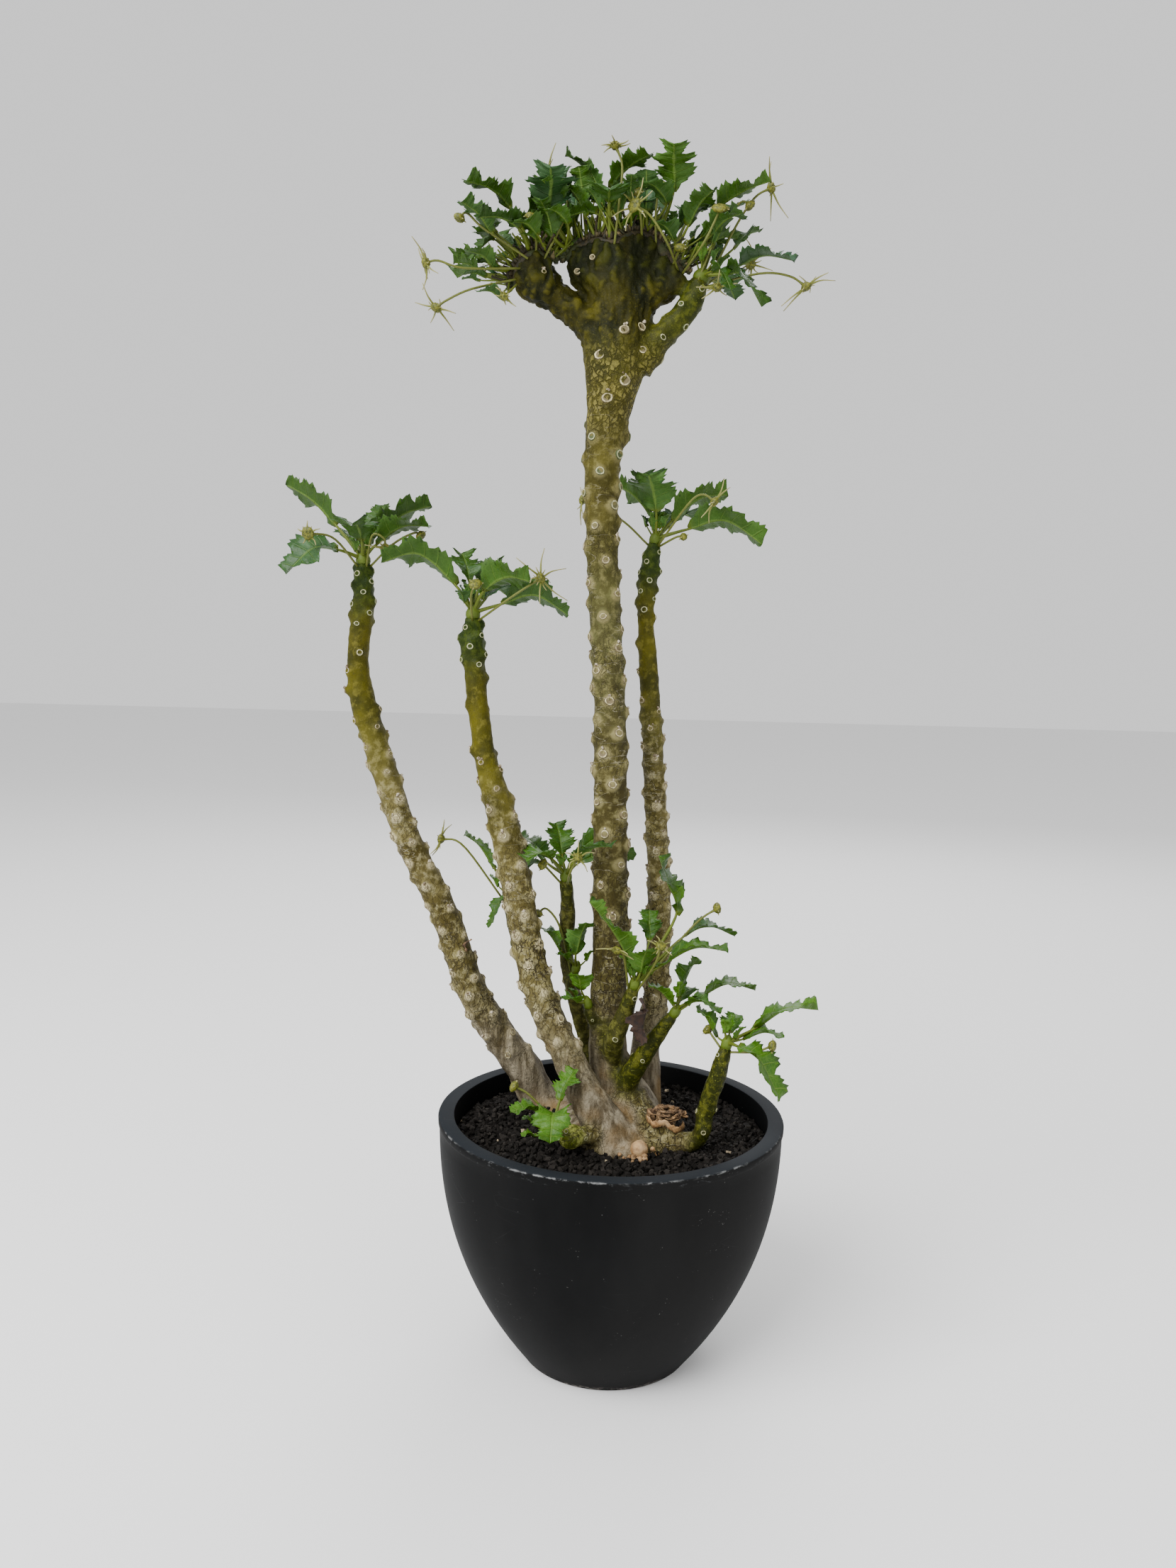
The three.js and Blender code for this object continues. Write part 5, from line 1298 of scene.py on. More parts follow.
def spread_over(values, edges, rounds):
    """Evens numbers out between neighbouring points."""
    count = np.bincount(edges.ravel(), minlength=len(values)) + 1.0
    for _ in range(rounds):
        total = values.copy()
        total += np.bincount(edges[:, 0], values[edges[:, 1]], len(values))
        total += np.bincount(edges[:, 1], values[edges[:, 0]], len(values))
        values = total / count
    return values


def fused_body():
    """All woody growth fused into one body."""
    skin = Skin()
    for stem in STEMS.values():
        p = Line(stem["path"]).evenly(1.6)
        skin.add(*tube(p[:, :3], p[:, 3], 32))
    for shell in (caudex_shell(), fan_shell(CENTRE_FAN), fan_shell(LEFT_FAN)):
        skin.add(*shell)
    p = Line(OLD_CUT).evenly(1.0)
    skin.add(*tube(p[:, :3], p[:, 3], 24))
    angle = np.linspace(-1.45, 1.45, 13)
    centres = NUB + np.outer(np.sin(angle), (0, 0, NUB_RADIUS * 0.9))
    skin.add(*tube(centres, NUB_RADIUS * np.cos(angle), 24))
    body = bpy.data.objects.new("stems_and_fans", skin.mesh("stems_and_fans"))
    bpy.context.scene.collection.objects.link(body)
    apply_modifier(body, "REMESH", mode="VOXEL", voxel_size=VOXEL * MM)
    apply_modifier(body, "SMOOTH", factor=0.5, iterations=5)
    body.data.polygons.foreach_set("use_smooth", np.ones(len(body.data.polygons), bool))
    return body


def bark_at(stem, left, q, close):
    """The share of each kind of bark at a point, left millimetres below the tip of its stem."""
    x, z = q[0], q[2]
    moss = STEMS[stem].get("moss", 0.0)
    share = {"moss": moss * (ease(27, 36, x) if stem == "outer_shoot" else ease(110, 122, z))}
    share["silver_foot"] = 0.15 * ease(112, 100, z) if moss else ease(165, 112, z)
    if moss:
        share["tip_green"] = ease(16, 3, left) * 0.6
    if stem in ("left_stem", "centre_stem", "right_stem"):
        share["tip_green"], share["olive"] = ease(34, 8, left), ease(120, 58, left)
    if stem == "crest_branch":
        share["tip_green"], share["olive"], share["moss"] = ease(48, 6, left) * 0.75, 1.0, 0.45
    if stem == "trunk":
        share["olive"] = 0.45 * ease(290, 400, z) + 0.45 * ease(385, 420, z)
        share["trunk_bark"] = 1
    if stem == "low_shoot":
        share["pale_nub"] = ease(15, 7, left)
    on_branch = stem == "crest_branch" and close and x > 4
    if z > 412 and not on_branch:
        share["crest"] = ease(414, 440, z + 4.0 * noise.noise(Vector(q / 9)))
        share["tip_green"], share["olive"] = 0, 0.9
    return share


def bark_shares(points):
    """The share of each kind of bark at every point, from the stem whose side it lies on."""
    samples = stem_samples()
    near = tree_of(samples[:, :3])
    names = list(STEMS)
    # Where two stems meet, a mossy one gives way
    late = [1.6 if "moss" in STEMS[names[int(number)]] else 0 for number in samples[:, 5]]
    shares = {kind: np.zeros(len(points)) for kind in BARK_KINDS}
    for i, q in enumerate(points):
        hits = near.find_n(q, 14)
        _, sample, distance = min(hits, key=lambda hit: abs(hit[2] - samples[hit[1]][3]) + late[hit[1]])
        radius, left, number = samples[sample][3:]
        for kind, share in bark_at(names[int(number)], left, q, distance < radius + 2.2).items():
            shares[kind][i] = share
    return shares


def swelling(points, spots):
    """How far the bark is pushed out at every point by the leaf scars near it."""
    tree = tree_of(points)
    swell = np.zeros(len(points))
    for centre, out, along, radius, size, bulge, _ in spots:
        spot = centre + out * radius
        for _, i, distance in tree.find_range(spot, size * 3.2):
            low_side = 1.25 if (points[i] - spot) @ along < 0 else 1.0
            span = (distance / (size * 1.65 * low_side)) ** 3
            swell[i] = max(swell[i], bulge * math.exp(-span))
    return swell


def make_stems():
    """The woody body, swollen under each leaf scar, lumpy on the fans and ribbed at its foot."""
    body = fused_body()
    mesh = body.data
    points, normals = points_of(mesh), normals_of(mesh)
    edges = np.empty(len(mesh.edges) * 2, np.int32)
    mesh.edges.foreach_get("vertices", edges)
    edges = edges.reshape(-1, 2)
    numbers = {kind: spread_over(share, edges, 10) for kind, share in bark_shares(points).items()}
    numbers["torn"] = ease(8.0, 5.0, np.linalg.norm((points - STUMP) * (0.8, 1, 1.2), axis=1))
    crest, foot = numbers["crest"], numbers["silver_foot"]
    neck_scars = front_scars(points)
    swell = swelling(points, scar_spots() + neck_scars)
    groove = grain_noise(points, 3.6, 4.0, (1, 1, 0.3))
    lumps = grain_noise(points, 6.5, 9.0)
    knobs = np.abs(grain_noise(points, 4.6, 21.0, (1, 1, 0.6))) * 2.2
    fine = grain_noise(points, 2.2, 2.0)
    small = np.abs(grain_noise(points, 2.4, 33.0)) * 2.2
    ribs = grain_noise(points, 5.0, 14.0, (1, 1, 0.22))
    moved = swell * (1 - 0.7 * crest) + crest * (0.7 * groove + 0.9 * knobs + 0.5 * small - 0.8)
    moved += (1 - crest) * 0.4 * lumps
    moved += 0.2 * fine - 0.25
    moved += foot * 0.9 * ribs
    points = points + normals * moved[:, None]
    set_points(mesh, points)
    # The height of the bulges and of the fan's lumps, from which the bark's finish paints highlight on their
    # tops and shade in the hollows and creases between them
    numbers["bulge"] = np.clip(swell / 1.2, 0, 1)
    numbers["lump"] = np.clip(0.4 * knobs + 0.25 * groove + 0.25 * small + 0.15, 0, 1)
    for name, value in numbers.items():
        layer = mesh.attributes.new(name, "FLOAT", "POINT")
        layer.data.foreach_set("value", value.astype(np.float32))
    normals = normals_of(mesh)
    apply_modifier(body, "DECIMATE", ratio=BARK_KEPT)
    dress(body, bark_finish(), "stem_bark", "plant_body")
    return points, normals, neck_scars


def ring_seat(tree, normals, centre, out, along, reach, furthest):
    """The bark that a ring sits on and the way it faces, or None where no bark is near."""
    hits = tree.find_range(centre + out * reach, 2.0)
    if len(hits) < 4:
        return None
    seat = np.mean([hit[0] for hit in hits], axis=0)
    around = np.mean([normals[hit[1]] for hit in hits], axis=0)
    if (seat - centre) @ out > furthest or around @ out < 0.3:
        return None
    face = unit(unit(around) + 0.6 * out + 0.12 * along)
    near = tree.find_range(seat, 1.0) or hits
    return seat + face * max((np.array(hit[0]) - seat) @ face for hit in near), face


def make_scars(surface, normals, neck_scars):
    """Raised pale rings where old leaves fell, many with the crumb of a dried bud above."""
    skin = Skin("scar_rim", "scar_fresh", "crumb")
    tree = tree_of(surface)
    turn = 2 * np.pi * np.arange(RING_SIDES) / RING_SIDES
    rng = np.random.default_rng(8)
    for centre, out, along, radius, size, bulge, left in scar_spots() + neck_scars:
        if rng.random() < 0.06 and left > 30:
            continue
        seated = ring_seat(tree, normals, centre, out, along, radius + bulge, radius + 3)
        if not seated:
            continue
        seat, face = seated
        across = unit(np.cross(along, face))
        rise = np.cross(face, across)
        oval, tilt = rng.uniform(0.82, 1.0), rng.uniform(0, TURN, 2)
        flat = np.cos(turn)[:, None] * across + oval * np.sin(turn)[:, None] * rise
        rings = []
        for share, height, _ in RING_PROFILE:
            uneven = 1 + 0.05 * np.sin(2 * turn + tilt[0]) + 0.04 * rng.standard_normal(RING_SIDES)
            r = size * share * uneven
            rings.append(seat + face * (height * 0.55 - 0.12) + r[:, None] * flat)
        points, faces = loft(rings)
        rims = np.append(np.repeat([rim for _, _, rim in RING_PROFILE], RING_SIDES), [0.1, 0.3])
        skin.add(points, faces, scar_rim=rims, scar_fresh=float(ease(60, 14, left)))
        if left > 45 and rng.random() < 0.6:
            for _ in range(2):
                spot = seat + along * size * rng.uniform(0.95, 1.5) + across * rng.normal(0, 0.5)
                add_lump(skin, spot - face * 0.25, rng.uniform(0.35, 0.75), rng, 0.3, 6, 4, crumb=1.0)
    place("leaf_scar_rings", skin.mesh("leaf_scar_rings"), scar_finish(), "stem_bark", "plant_body")


def add_lump(skin, spot, size, rng, rough=0.14, sides=12, rows=7, **numbers):
    """A rough little ball."""
    turn = np.linspace(0, 2 * np.pi, sides, endpoint=False)
    rings = []
    for latitude in np.linspace(-1.3, 1.3, rows):
        r = size * math.cos(latitude) * (1 + rough * rng.standard_normal(sides))
        ring = np.stack([r * np.cos(turn), r * np.sin(turn), np.full(sides, size * math.sin(latitude))], -1)
        rings.append(spot + ring)
    skin.add(*loft(rings), **numbers)


# Leaves


def outline(s):
    """A blade's width at s, from its base at 0 to its tip at 1, as a share of the widest."""
    return math.sin(math.pi * s**BLADE_LEAN) ** BLADE_FULLNESS if 0 < s < 1 else 0.0


def leaf_edge(wide, draw, valley_reach):
    """For each edge, how far it lies from the midrib and how it swings, at the points of its lobes."""
    lobes = 2 if wide < FULL_LEAF_WIDTH else 3
    sides = []
    for _ in (1, -1):
        marks = [(0.0, 0.975, 0.0)]
        for k in range(lobes):
            valley = (k + LOBE_VALLEY) / (lobes + LOBE_END)
            peak = (k + LOBE_PEAK) / (lobes + LOBE_END)
            swing = LOBE_SWING * wide * mix(0.4, 1, draw()) * (-1 if k % 2 else 1)
            marks.append((valley, wide / 2 * valley_reach * outline(valley), -swing * LOBE_FOLLOW))
            marks.append((peak, wide / 2 * mix(0.9, 1.08, draw()) * outline(peak - 0.1), swing))
        marks.append((1.0, 0.3, 0.0))
        sides.append(np.array(marks))
    return lobes, sides


def lobe_reach(marks, s):
    """The edge's reach at s: each lobe is rounded from its valley to its point and back."""
    k = int(np.clip(np.searchsorted(marks[:, 0], s, side="right") - 1, 0, len(marks) - 2))
    (s0, r0, _), (s1, r1, _) = marks[k], marks[k + 1]
    t = (s - s0) / (s1 - s0)
    if r1 > r0:
        return mix(r0, r1, math.sin(math.pi / 2 * t) ** 1.1)
    return mix(r1, r0, math.cos(math.pi / 2 * t) ** 0.9)


def blade_places(lobes, marks):
    """Places along a blade, one for each tooth, with how far its edge goes out and forward there."""
    ends = [marks[1 + 2 * k][0] for k in range(lobes)] + [1.0]
    places = [(0.0, 0.0, 0.0), (ends[0] * 0.6, 0.0, 0.0)]
    for k in range(lobes):
        places += [(mix(ends[k], ends[k + 1], f), out, ahead) for f, out, ahead in TEETH]
    return [*places, (1.0, 0.0, 0.0)]


def blade_frame(rib, s, roll):
    """The midrib at s, the way along it, the way across the blade and the way up from it."""
    centre, along = rib.at((1 + 2 * s) / 3), rib.along((1 + 2 * s) / 3)
    flat = np.array([along[1], -along[0], 0])
    flat = unit(flat) if np.linalg.norm(flat) > 0.05 else np.array([1.0, 0, 0])
    across = np.array(Matrix.Rotation(math.radians(roll), 3, Vector(along)) @ Vector(flat))
    return centre, along, across, np.cross(across, along)


def add_leaf(skin, root, base, tip, wide, arch=LEAF_ARCH, roll=0, seed=1, tone=0.5, curl=1.0):
    """One leaf: a slender petiole and a toothed, lobed blade, cupped along a midrib raised below."""
    rng = np.random.default_rng(seed)
    lobes, edges = leaf_edge(wide, seeded(seed * 7919 + 17), rng.uniform(0.4, 0.72))
    root, base, tip = (np.asarray(p, float) for p in (root, base, tip))
    middle = (base + tip) / 2 + (0, 0, arch * np.linalg.norm(tip - base))
    rib = Line([root, base, middle, tip])
    places = blade_places(lobes, edges[0])
    size = np.clip(wide / 15, 0.3, 1.05)
    phase = rng.uniform(0, TURN, 3)
    veins = 2 * lobes + 1
    rings, charts = [], []
    for s, out, ahead in places:
        centre, along, across, normal = blade_frame(rib, s, roll)
        tooth = [size * out * rng.uniform(0.35, 1.4) for _ in (0, 1)]
        curve_down = 0.05 * wide * s * s
        top, low, chart = [], [], []
        for share in ACROSS:
            side = 0 if share > 0 else 1
            marks = edges[side]
            reach = lobe_reach(marks, s)
            swing = np.interp(s, marks[:, 0], marks[:, 2])
            c = abs(share)
            edge = reach * c + tooth[side] * ease(0.55, 1, c)
            forward = size * ahead * ease(0.6, 1, c) * 1.1
            wave = 0.07 * wide * c * c * math.sin(9 * s + phase[side]) * curl
            ripple = 0.5 * c * math.sin(TURN * (s * veins - 0.5 * c) + 1.2) * min(reach / 4, 1)
            lift = c * (swing + BLADE_CUP * reach) * curl + wave + ripple - curve_down
            curled_tooth = 0.55 * max(tooth[side], 0) * ease(0.75, 1, c)
            p = centre + across * np.sign(share) * edge + normal * (lift + curled_tooth) + along * forward
            half = 0.22 * (1 - 0.5 * s) * (1 - 0.6 * c)
            top.append(p + normal * (half - 0.16 * max(0, 1 - c * 5)))
            low.append(p - normal * (half + (0.75 * (1 - s) + 0.1) * max(0, 1 - c * 8)))
            vein = (s * veins - 0.5 * c * min(reach / 4, 1) + 2) / LEAF_CHART
            chart.append((vein, (share + 1) / 2))
        rings.append(top + low[::-1])
        charts += chart + chart[::-1]
    points, faces = loft(rings)
    tone = float(np.clip(tone + rng.normal(0, 0.1), 0, 1))
    across_both = 2 * len(ACROSS)
    foot = ease(0.09, 0.0, np.array([s for s, _, _ in places]))
    skin.add(
        points,
        faces,
        np.array([*charts, (0.2, 0.5), (0.6, 0.5)]),
        leaf_tone=tone,
        stalk=np.append(np.repeat(foot, across_both), [1, 0]),
        underside=np.append(np.tile(np.repeat([0, 1], len(ACROSS)), len(places)), [0.5, 0.5]),
        blue_bloom=float(ease(0.55, 0.95, rng.random())) * (1 - tone),
    )
    t = np.linspace(0, 0.37, 9)
    under = rib.at(t) - np.array([0, 0, 0.35])
    thick = np.clip(wide / 14, 0.55, 1.05) * np.linspace(0.95, 0.5, len(t))
    skin.add(*tube(under, thick, 7), leaf_tone=tone, stalk=1.0, underside=1.0)


def head_axis(path):
    """The end of a stem, the way it points and its radius there."""
    end, before = np.array(path[-1], float), np.array(path[-2], float)
    return end[:3], unit(end[:3] - before[:3]), end[3]


def side_ways(along):
    """Two ways square to a direction and to each other."""
    across = unit(np.cross(along, (0, 1, 0)))
    return across, np.cross(along, across)


def add_young_leaves(skin, apex, along, count, tone, rng):
    """Small folded leaves crowded round an apex."""
    across, side = side_ways(along)
    for i in range(count):
        angle = 2.4 * i + rng.uniform(-0.3, 0.3)
        open_out = rng.uniform(0.35, 0.95)
        away = unit(along + open_out * (math.cos(angle) * across + math.sin(angle) * side))
        base = apex + along * 1.5 + away * rng.uniform(4, 8)
        tip = base + unit(away + (0, 0, 0.3)) * rng.uniform(5, 9)
        seed = int(rng.integers(1, 9999))
        add_leaf(skin, apex + along * 1.2, base, tip, rng.uniform(3.5, 6), 0.1, 0, seed, tone + 0.15)


def make_heads():
    """The leaves of every head and of both fans, with an apex or young leaves between them."""
    finish = leaf_finish()
    rng = np.random.default_rng(41)
    for i, (name, head) in enumerate(HEADS.items()):
        skin = Skin(*LEAF_NUMBERS)
        apex, along, radius = head_axis(STEMS[name]["path"])
        heart = apex + APEX_SHOULDER * along
        tone = head["tone"]
        seed = head.get("seed", 100 + 20 * i)
        for k, (bx, by, bz, tx, ty, tz, wide, arch, roll) in enumerate(head["leaves"]):
            base, tip = apex + (bx, by, bz), apex + (tx, ty, tz)
            add_leaf(skin, heart + 0.4 * unit(base - heart), base, tip, wide, arch, roll, seed + k, tone)
        lifts, shares = np.array(APEX_PROFILE).T
        points, faces = tube(apex + np.outer(lifts, along), radius * shares, 14)
        skin.add(points, faces, leaf_tone=tone, stalk=0.7, underside=1.0)
        add_young_leaves(skin, apex, along, head["young"], tone, rng)
        place(f"leaves_{name}", skin.mesh(f"leaves_{name}"), finish, "leaf_green", f"leaf_head_{name}")
    for name, fan in FANS.items():
        skin = Skin(*LEAF_NUMBERS)
        for k, (along, row, bx, by, bz, tx, ty, tz, wide) in enumerate(fan["leaves"]):
            root = ridge_point(fan["rings"], along, row)
            seed = fan["seed"] + k
            add_leaf(skin, root, (bx, by, bz), (tx, ty, tz), wide, seed=seed, tone=FAN_LEAF_TONE)
        add_filling(skin, fan["rings"], fan["fill"], fan["seed"])
        add_crest_sprouts(skin, fan["rings"], fan["young"], rng)
        place(f"leaves_{name}", skin.mesh(f"leaves_{name}"), finish, "leaf_green", f"leaf_head_{name}")


def add_filling(skin, fan, fill, seed):
    """Leaves strewn along the back of a ridge."""
    draw = seeded(seed)
    for i in range(fill["count"]):
        along = mix(fill["start"], fill["end"], (i + draw()) / fill["count"])
        row = mix(0.3, 1, draw())
        root = ridge_point(fan, along, row)
        change = LEAF_LEAN_CHANGE * mix(-1, 1, draw())
        lean = math.radians(mix(fill["from"], fill["to"], along) + change)
        back = math.radians(mix(*LEAF_LEAN, draw()))
        away = np.array([math.sin(lean) * math.cos(back), math.sin(back), math.cos(lean) * math.cos(back)])
        base = root + away * mix(*PETIOLE_REACH, draw())
        reach = unit(away * (1.4, 1.5, 0.7) + (0, 0.15, 0))
        tip = base + reach * mix(*BLADE_REACH, draw())
        wide = mix(*BLADE_WIDTH, draw())
        add_leaf(skin, root, base, tip, wide, seed=seed + 50 + i, tone=FAN_LEAF_TONE)


def ridge_frame(fan, spot, row):
    """A point on a ridge's crown and the way out of it."""
    root = ridge_point(fan, spot, row)
    along = fan_line(fan[-1]["line"]).along(spot)
    up = np.array([-along[2], 0, along[0]])
    return root, unit(up + np.array([0, row * 0.8, 0]))


def add_crest_sprouts(skin, fan, count, rng):
    """Short young leaves, and the bare petioles of lost ones, crowded along a ridge."""
    for i in range(count):
        spot = (i + rng.random()) / count * 0.94 + 0.03
        root, up = ridge_frame(fan, spot, rng.uniform(-1, 1))
        away = unit(up + rng.normal(0, 0.35, 3) * (1, 0.9, 0.4))
        big = i % 2
        base = root + away * rng.uniform(6, 15)
        tip = base + unit(away + rng.normal(0, 0.35, 3)) * (rng.uniform(6, 11) + 7 * big)
        seed = int(rng.integers(1, 9999))
        wide = rng.uniform(4, 8) + 6 * big
        add_leaf(skin, root, base, tip, wide, 0.1, 0, seed, FAN_LEAF_TONE + 0.15 * rng.random())
    for _ in range(int(count * 2.2)):
        root, up = ridge_frame(fan, rng.uniform(0.03, 0.97), rng.uniform(-1, 1))
        away = unit(up + rng.normal(0, 0.22, 3))
        rise = rng.uniform(4, 11)
        bend = rng.normal(0, 0.07, 3) * rise
        spine = Line([root - away, root + away * rise * 0.5 + bend * 0.5, root + away * rise])
        thick = rng.uniform(0.35, 0.55) * np.linspace(1.1, 0.7, 6)
        skin.add(*tube(spine.at(np.linspace(0, 1, 6)), thick, 6), leaf_tone=0.4, stalk=1.0, underside=1.0)


def add_scale(skin, fan, rng):
    """A small brown scale that stands on a ridge."""
    spot, row = rng.random(), rng.uniform(-1.15, 1.15)
    root, up = ridge_frame(fan, spot, row)
    up = unit(up + rng.normal(0, 0.35, 3))
    size = rng.uniform(0.5, 1.1)
    rise = rng.uniform(0.6, 1.9)
    spine = [root - up * 1.6, root + up * rise * 0.4, root + up * rise]
    skin.add(*tube(spine, [size, size * 0.85, 0.15], 6), scale_tone=float(rng.random() ** 3))


def add_stub(skin, fan, rng):
    """The dark dried end of an old stalk, with a small knob on it."""
    root, up = ridge_frame(fan, rng.random(), rng.uniform(-1, 1))
    up = unit(up + rng.normal(0, 0.3, 3))
    rise = rng.uniform(2.5, 7)
    bend = rng.normal(0, 0.5, 3)
    end, knob = root + up * rise + bend, root + up * (rise + 0.9) + bend * 1.3
    spine = Line([root - up, root + up * rise * 0.5, end, knob]).at(np.linspace(0, 1, 7))
    radii = [0.6, 0.5, 0.42, 0.4, 0.42, 0.75, 0.3]
    skin.add(*tube(spine, radii, 6), scale_tone=float(rng.choice([0.0, 0.0, 0.55])))


def make_ridges():
    """The brown scaly crown of each fan, with the dried ends of old stalks."""
    finish = ridge_finish()
    rng = np.random.default_rng(77)
    levels = ((0.0, RIDGE_INSET), (RIDGE_HEIGHT * 0.5, RIDGE_INSET * 1.4), (RIDGE_HEIGHT * 0.8, 3.0))
    for name, fan in FANS.items():
        skin = Skin("scale_tone")
        line, depth = fan["rings"][-1]["line"], fan["rings"][-1]["depth"]
        rings = [fan_ring(line, depth, 1, RIDGE_GAP - 1.6 + lift, inset, 60) for lift, inset in levels]
        points, faces = loft(rings)
        points[:, 2] += 0.3 * grain_noise(points, 3.0)
        skin.add(points, faces, scale_tone=0.1)
        for _ in range(fan["scales"]):
            add_scale(skin, fan["rings"], rng)
        for _ in range(fan["stubs"]):
            add_stub(skin, fan["rings"], rng)
        place(f"ridge_{name}", skin.mesh(f"ridge_{name}"), finish, "stem_bark", f"leaf_head_{name}")


# Blooms


def add_disc(skin, centre, out, across, up, disc, seed, rng):
    """A domed disc, dotted with tiny flowers."""
    turn = np.linspace(0, 2 * np.pi, 20, endpoint=False)
    flat = np.cos(turn)[:, None] * across + np.sin(turn)[:, None] * up
    rings = []
    for share, lift in DISC_PROFILE:
        r = disc * share * (1 + 0.06 * np.sin(5 * turn + seed))
        rings.append(centre + out * lift + r[:, None] * flat)
    points, faces = loft(rings)
    points += 0.12 * rng.standard_normal((len(points), 1)) * out
    skin.add(points, faces, bloom_part=0.45)
    for _ in range(int(7 * disc)):
        angle, share = rng.random() * TURN, math.sqrt(rng.random()) * 0.8
        spot = centre + disc * share * (math.cos(angle) * across + math.sin(angle) * up)
        spot = spot + out * (1.35 - share * 0.8)
        spine = [spot - out * 0.3, spot + out * 0.2, spot + out * 0.45]
        skin.add(*tube(spine, [0.3, 0.26, 0.1], 6), bloom_part=0.4)


def make_bloom(name, stalk, face, disc, arms, reach, seed, finish):
    """A thin peduncle, a disc of tiny flowers and tapering arms that bend back or forward."""
    skin = Skin("bloom_part")
    draw = seeded(seed * 31 + 5)
    rng = np.random.default_rng(seed + 1)
    centre = np.array(stalk[-1], float)
    out = unit(face)
    across = np.cross((0, 0, 1), out)
    across = unit(across) if np.linalg.norm(across) > 0.1 else np.array([1.0, 0, 0])
    up = np.cross(out, across)
    spine = Line(stalk).at(np.linspace(0, 1, 4 * len(stalk)))
    radii = np.full(len(spine), 0.48) + 0.4 * ease(0.85, 1, np.linspace(0, 1, len(spine)))
    skin.add(*tube(spine, radii, 8), bloom_part=0.1)
    add_disc(skin, centre, out, across, up, disc, seed, rng)
    for i in range(2 * arms):
        angle = math.pi * i / arms + BLOOM_TURN
        way = math.cos(angle) * across + math.sin(angle) * up
        if i % 2 == 0 and reach > 0:
            radius = disc + reach * mix(0.7, 1.1, draw())
            bend = reach * mix(-0.35, 0.45, draw())
        else:
            radius = disc + max(reach * rng.uniform(0.12, 0.4), 0.7) if rng.random() < 0.7 else 0
            bend = (radius - disc) * rng.uniform(-0.3, 0.4)
        if not radius:
            continue
        start = centre + way * disc * 0.72
        end = centre + way * radius + out * bend
        sag = np.cross(way, out) * rng.normal(0, 0.08) * radius
        middle = (start + end) / 2 + out * (-0.22 * bend) + sag
        spine = Line([start, middle, end]).at(np.linspace(0, 1, 8))
        thick = 0.46 if i % 2 == 0 else 0.4
        part = np.repeat(mix(0.66, 1.0, np.linspace(0, 1, 8)), 6)
        skin.add(*tube(spine, thick * np.linspace(1, 0.35, 8), 6), bloom_part=np.append(part, [0.66, 1.0]))
    place(name.replace("bloom", "flower_head"), skin.mesh(name), finish, "bloom_green", name)


def fan_foot(ring, spot, side):
    """Where a peduncle leaves the side of a fan, just below its ridge."""
    curve = fan_line(ring["line"])
    along = curve.along(spot)
    p = curve.at(spot) + BLOOM_FOOT_BELOW * np.array([along[2], 0, -along[0]])
    half = 2 * math.sqrt(spot - spot * spot)
    return np.array([p[0], fan_sway(p[0], 1) + side * half * (ring["depth"] - 0.8), p[2]])


def head_foot(path, towards):
    """Where a peduncle leaves the end of a stem, on the side that it goes to."""
    apex, along, radius = head_axis(path)
    towards = np.array(towards, float)
    out = unit(towards - along * (towards @ along))
    return apex - BLOOM_FOOT_BELOW * along + out * (radius - 0.6)


def make_blooms():
    finish = bloom_finish()
    for k, (name, group) in enumerate(FAN_BLOOMS.items()):
        for i, (spot, side, points, *form) in enumerate(group):
            stalk = [fan_foot(FANS[name]["rings"][-1], spot, side), *points]
            make_bloom(f"bloom_{name}_{i + 1}", stalk, *form, 10 * k + i, finish)
    for k, (name, group) in enumerate(HEAD_BLOOMS.items()):
        path = STEMS[name]["path"]
        apex = np.array(path[-1][:3], float)
        for i, (points, *form) in enumerate(group):
            stalk = [head_foot(path, points[0]), *(apex + p for p in np.array(points, float))]
            make_bloom(f"bloom_{name}_{i + 1}", stalk, *form, 100 + 10 * k + i, finish)


# Dead growth


def add_stump_rim(skin, surface, rng):
    """The torn rim of the stump, level with the bark round it."""
    bark = surface[surface[:, 2] < 112.5]
    turn = np.linspace(math.radians(165), math.radians(380), 48)
    ways = np.stack([np.cos(turn), np.sin(turn), 0 * turn], -1)
    spots = STUMP + ways * (7.6, 5.4, 0) * (1 + 0.05 * np.sin(5 * turn))[:, None]
    levels = [bark[np.hypot(bark[:, 0] - x, bark[:, 1] - y) < 1.3, 2].max(initial=106) for x, y, _ in spots]
    spots[:, 2] = np.convolve(np.pad(levels, 3, "edge"), np.ones(7) / 7, "valid")
    rings = []
    for spot, away in zip(spots, ways):
        high, thick = rng.uniform(0.5, 1.5), rng.uniform(0.3, 0.5)
        lean = away * rng.uniform(0.0, 0.4)
        rows = [(-1.8, 1.6), (-0.4, 1.3), (0.5 * high, 1.0), (high, 0.5)]
        outer = [spot + lean * rise + away * thick * wide + (0, 0, rise) for rise, wide in rows]
        inner = [spot + lean * rise - away * thick * wide + (0, 0, rise) for rise, wide in rows]
        rings.append(outer + inner[::-1])
    skin.add(*loft(rings), brown=0.1)


def add_flake(skin, spot, size, rng):
    """A thin curled scale of dead bark."""
    turn = np.array(Matrix.Rotation(rng.normal(0, 0.6), 3, Vector(rng.standard_normal(3))))
    turn = turn @ np.array(Matrix.Rotation(rng.random() * TURN, 3, "Z"))
    rings = []
    for a in np.linspace(-1, 1, 4):
        half = (1 - 0.45 * a * a) * rng.uniform(0.75, 1.1) * 0.6
        top = [np.array([a, half * c, 0.22 * c * c + 0.1 * rng.random()]) for c in (-1, -0.3, 0.3, 1)]
        rings.append([turn @ (p * size) + spot for p in top + [q - (0, 0, 0.16) for q in top[::-1]]])
    skin.add(*loft(rings), brown=float(0.5 + 0.5 * rng.random()))


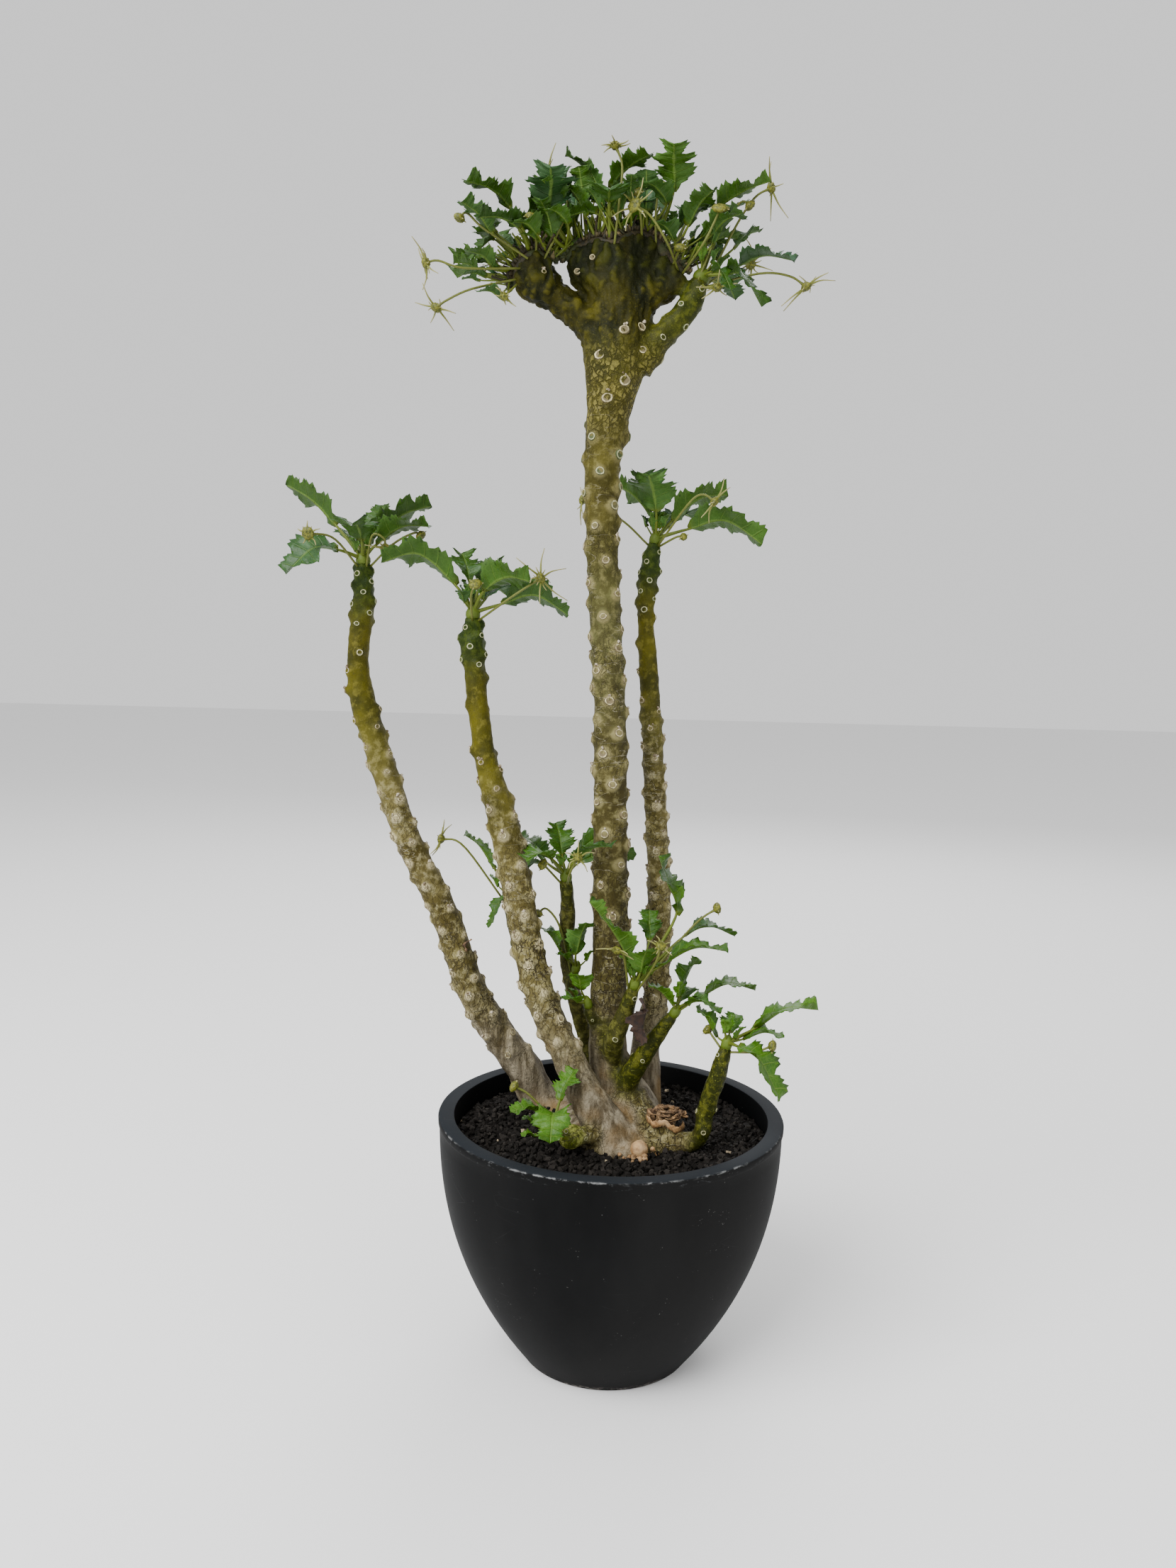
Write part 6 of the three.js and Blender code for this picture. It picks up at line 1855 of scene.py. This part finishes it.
def make_dead_growth(surface):
    """The withered leaf, the torn stump with its rim and flakes, the tubers and a bare twig."""
    dry, husk = dry_finish(), husk_finish()
    skin = Skin(*LEAF_NUMBERS)
    add_leaf(skin, *WITHERED_LEAF, seed=3, curl=2.2)
    place("withered_leaf_curled", skin.mesh("withered_leaf_curled"), dry, "dry_leaf", "withered_leaf")
    skin = Skin("brown")
    rng = np.random.default_rng(3)
    add_stump_rim(skin, surface, rng)
    for _ in range(FLAKE_COUNT):
        angle, out = rng.random() * TURN, math.sqrt(rng.random())
        spot = STUMP + (7.5 * out * math.cos(angle), 5.0 * out * math.sin(angle) - 1, 3.2 - 4.2 * out * out)
        add_flake(skin, spot, rng.uniform(1.2, 2.6), rng)
    for x, y, z, radius in TUBERS:
        for _ in range(13):
            spot = np.array([x, y, z]) + rng.normal(0, radius * 0.5, 3) * (1, 1, 0.5)
            size = radius * rng.uniform(0.2, 0.46)
            add_lump(skin, spot, size, rng, 0.2, 9, 6, brown=float(rng.random() * 0.5))
    add_lump(skin, np.array(ROUND_TUBER[:3]), ROUND_TUBER[3], rng, 0.03, 20, 11)
    place("husk_and_tubers", skin.mesh("husk_and_tubers"), husk, "dry_leaf", "plant_body")
    skin = Skin("brown")
    for path in TWIG:
        p = Line(path).at(np.linspace(0, 1, 9))
        skin.add(*tube(p, np.linspace(0.75, 0.4, 9) * (1 + 0.25 * rng.standard_normal(9)), 7), brown=1.0)
    place("dried_twig", skin.mesh("dried_twig"), husk, "dry_leaf", "plant_body")


# Setting


def make_setting():
    """A pale floor in a pale room, three area lamps and the camera of the photo."""
    bpy.ops.object.select_all(action="DESELECT")
    bpy.ops.mesh.primitive_plane_add(size=FLOOR_SIZE, location=(0, 0, -0.2 * MM))
    floor = bpy.context.object
    floor.name = "pale_floor"
    finish = Finish("pale_floor")
    floor.data.materials.append(finish.done(shade(*FLOOR_TONE), 0.9))
    world = bpy.data.worlds.new("pale_room")
    world.use_nodes = True
    back = world.node_tree.nodes["Background"]
    back.inputs["Color"].default_value = shade(1, 1, 1)
    back.inputs["Strength"].default_value = 1.0
    bpy.context.scene.world = world
    for name, spot, aim, power, size in LAMPS:
        light = bpy.data.lights.new(name, "AREA")
        light.energy = power
        light.size = size
        lamp = bpy.data.objects.new(name, light)
        lamp.location = spot
        lamp.rotation_euler = (Vector(aim) - Vector(spot)).to_track_quat("-Z", "Y").to_euler()
        bpy.context.scene.collection.objects.link(lamp)
    camera = bpy.data.objects.new("camera", bpy.data.cameras.new("camera"))
    bpy.context.scene.collection.objects.link(camera)
    camera.data.lens = CAMERA_LENS
    camera.data.sensor_width = 36
    camera.data.clip_start = 0.01
    pitch = Matrix.Rotation(math.radians(90 - CAMERA_DOWN), 4, "X")
    tilt = Matrix.Rotation(math.radians(CAMERA_TILT), 4, "Z")
    camera.matrix_world = Matrix.Translation(CAMERA_SPOT) @ pitch @ tilt
    bpy.context.scene.camera = camera


make_pot()
make_soil()
surface, normals, neck_scars = make_stems()
make_scars(surface, normals, neck_scars)
make_heads()
make_ridges()
make_blooms()
make_dead_growth(surface)
make_setting()
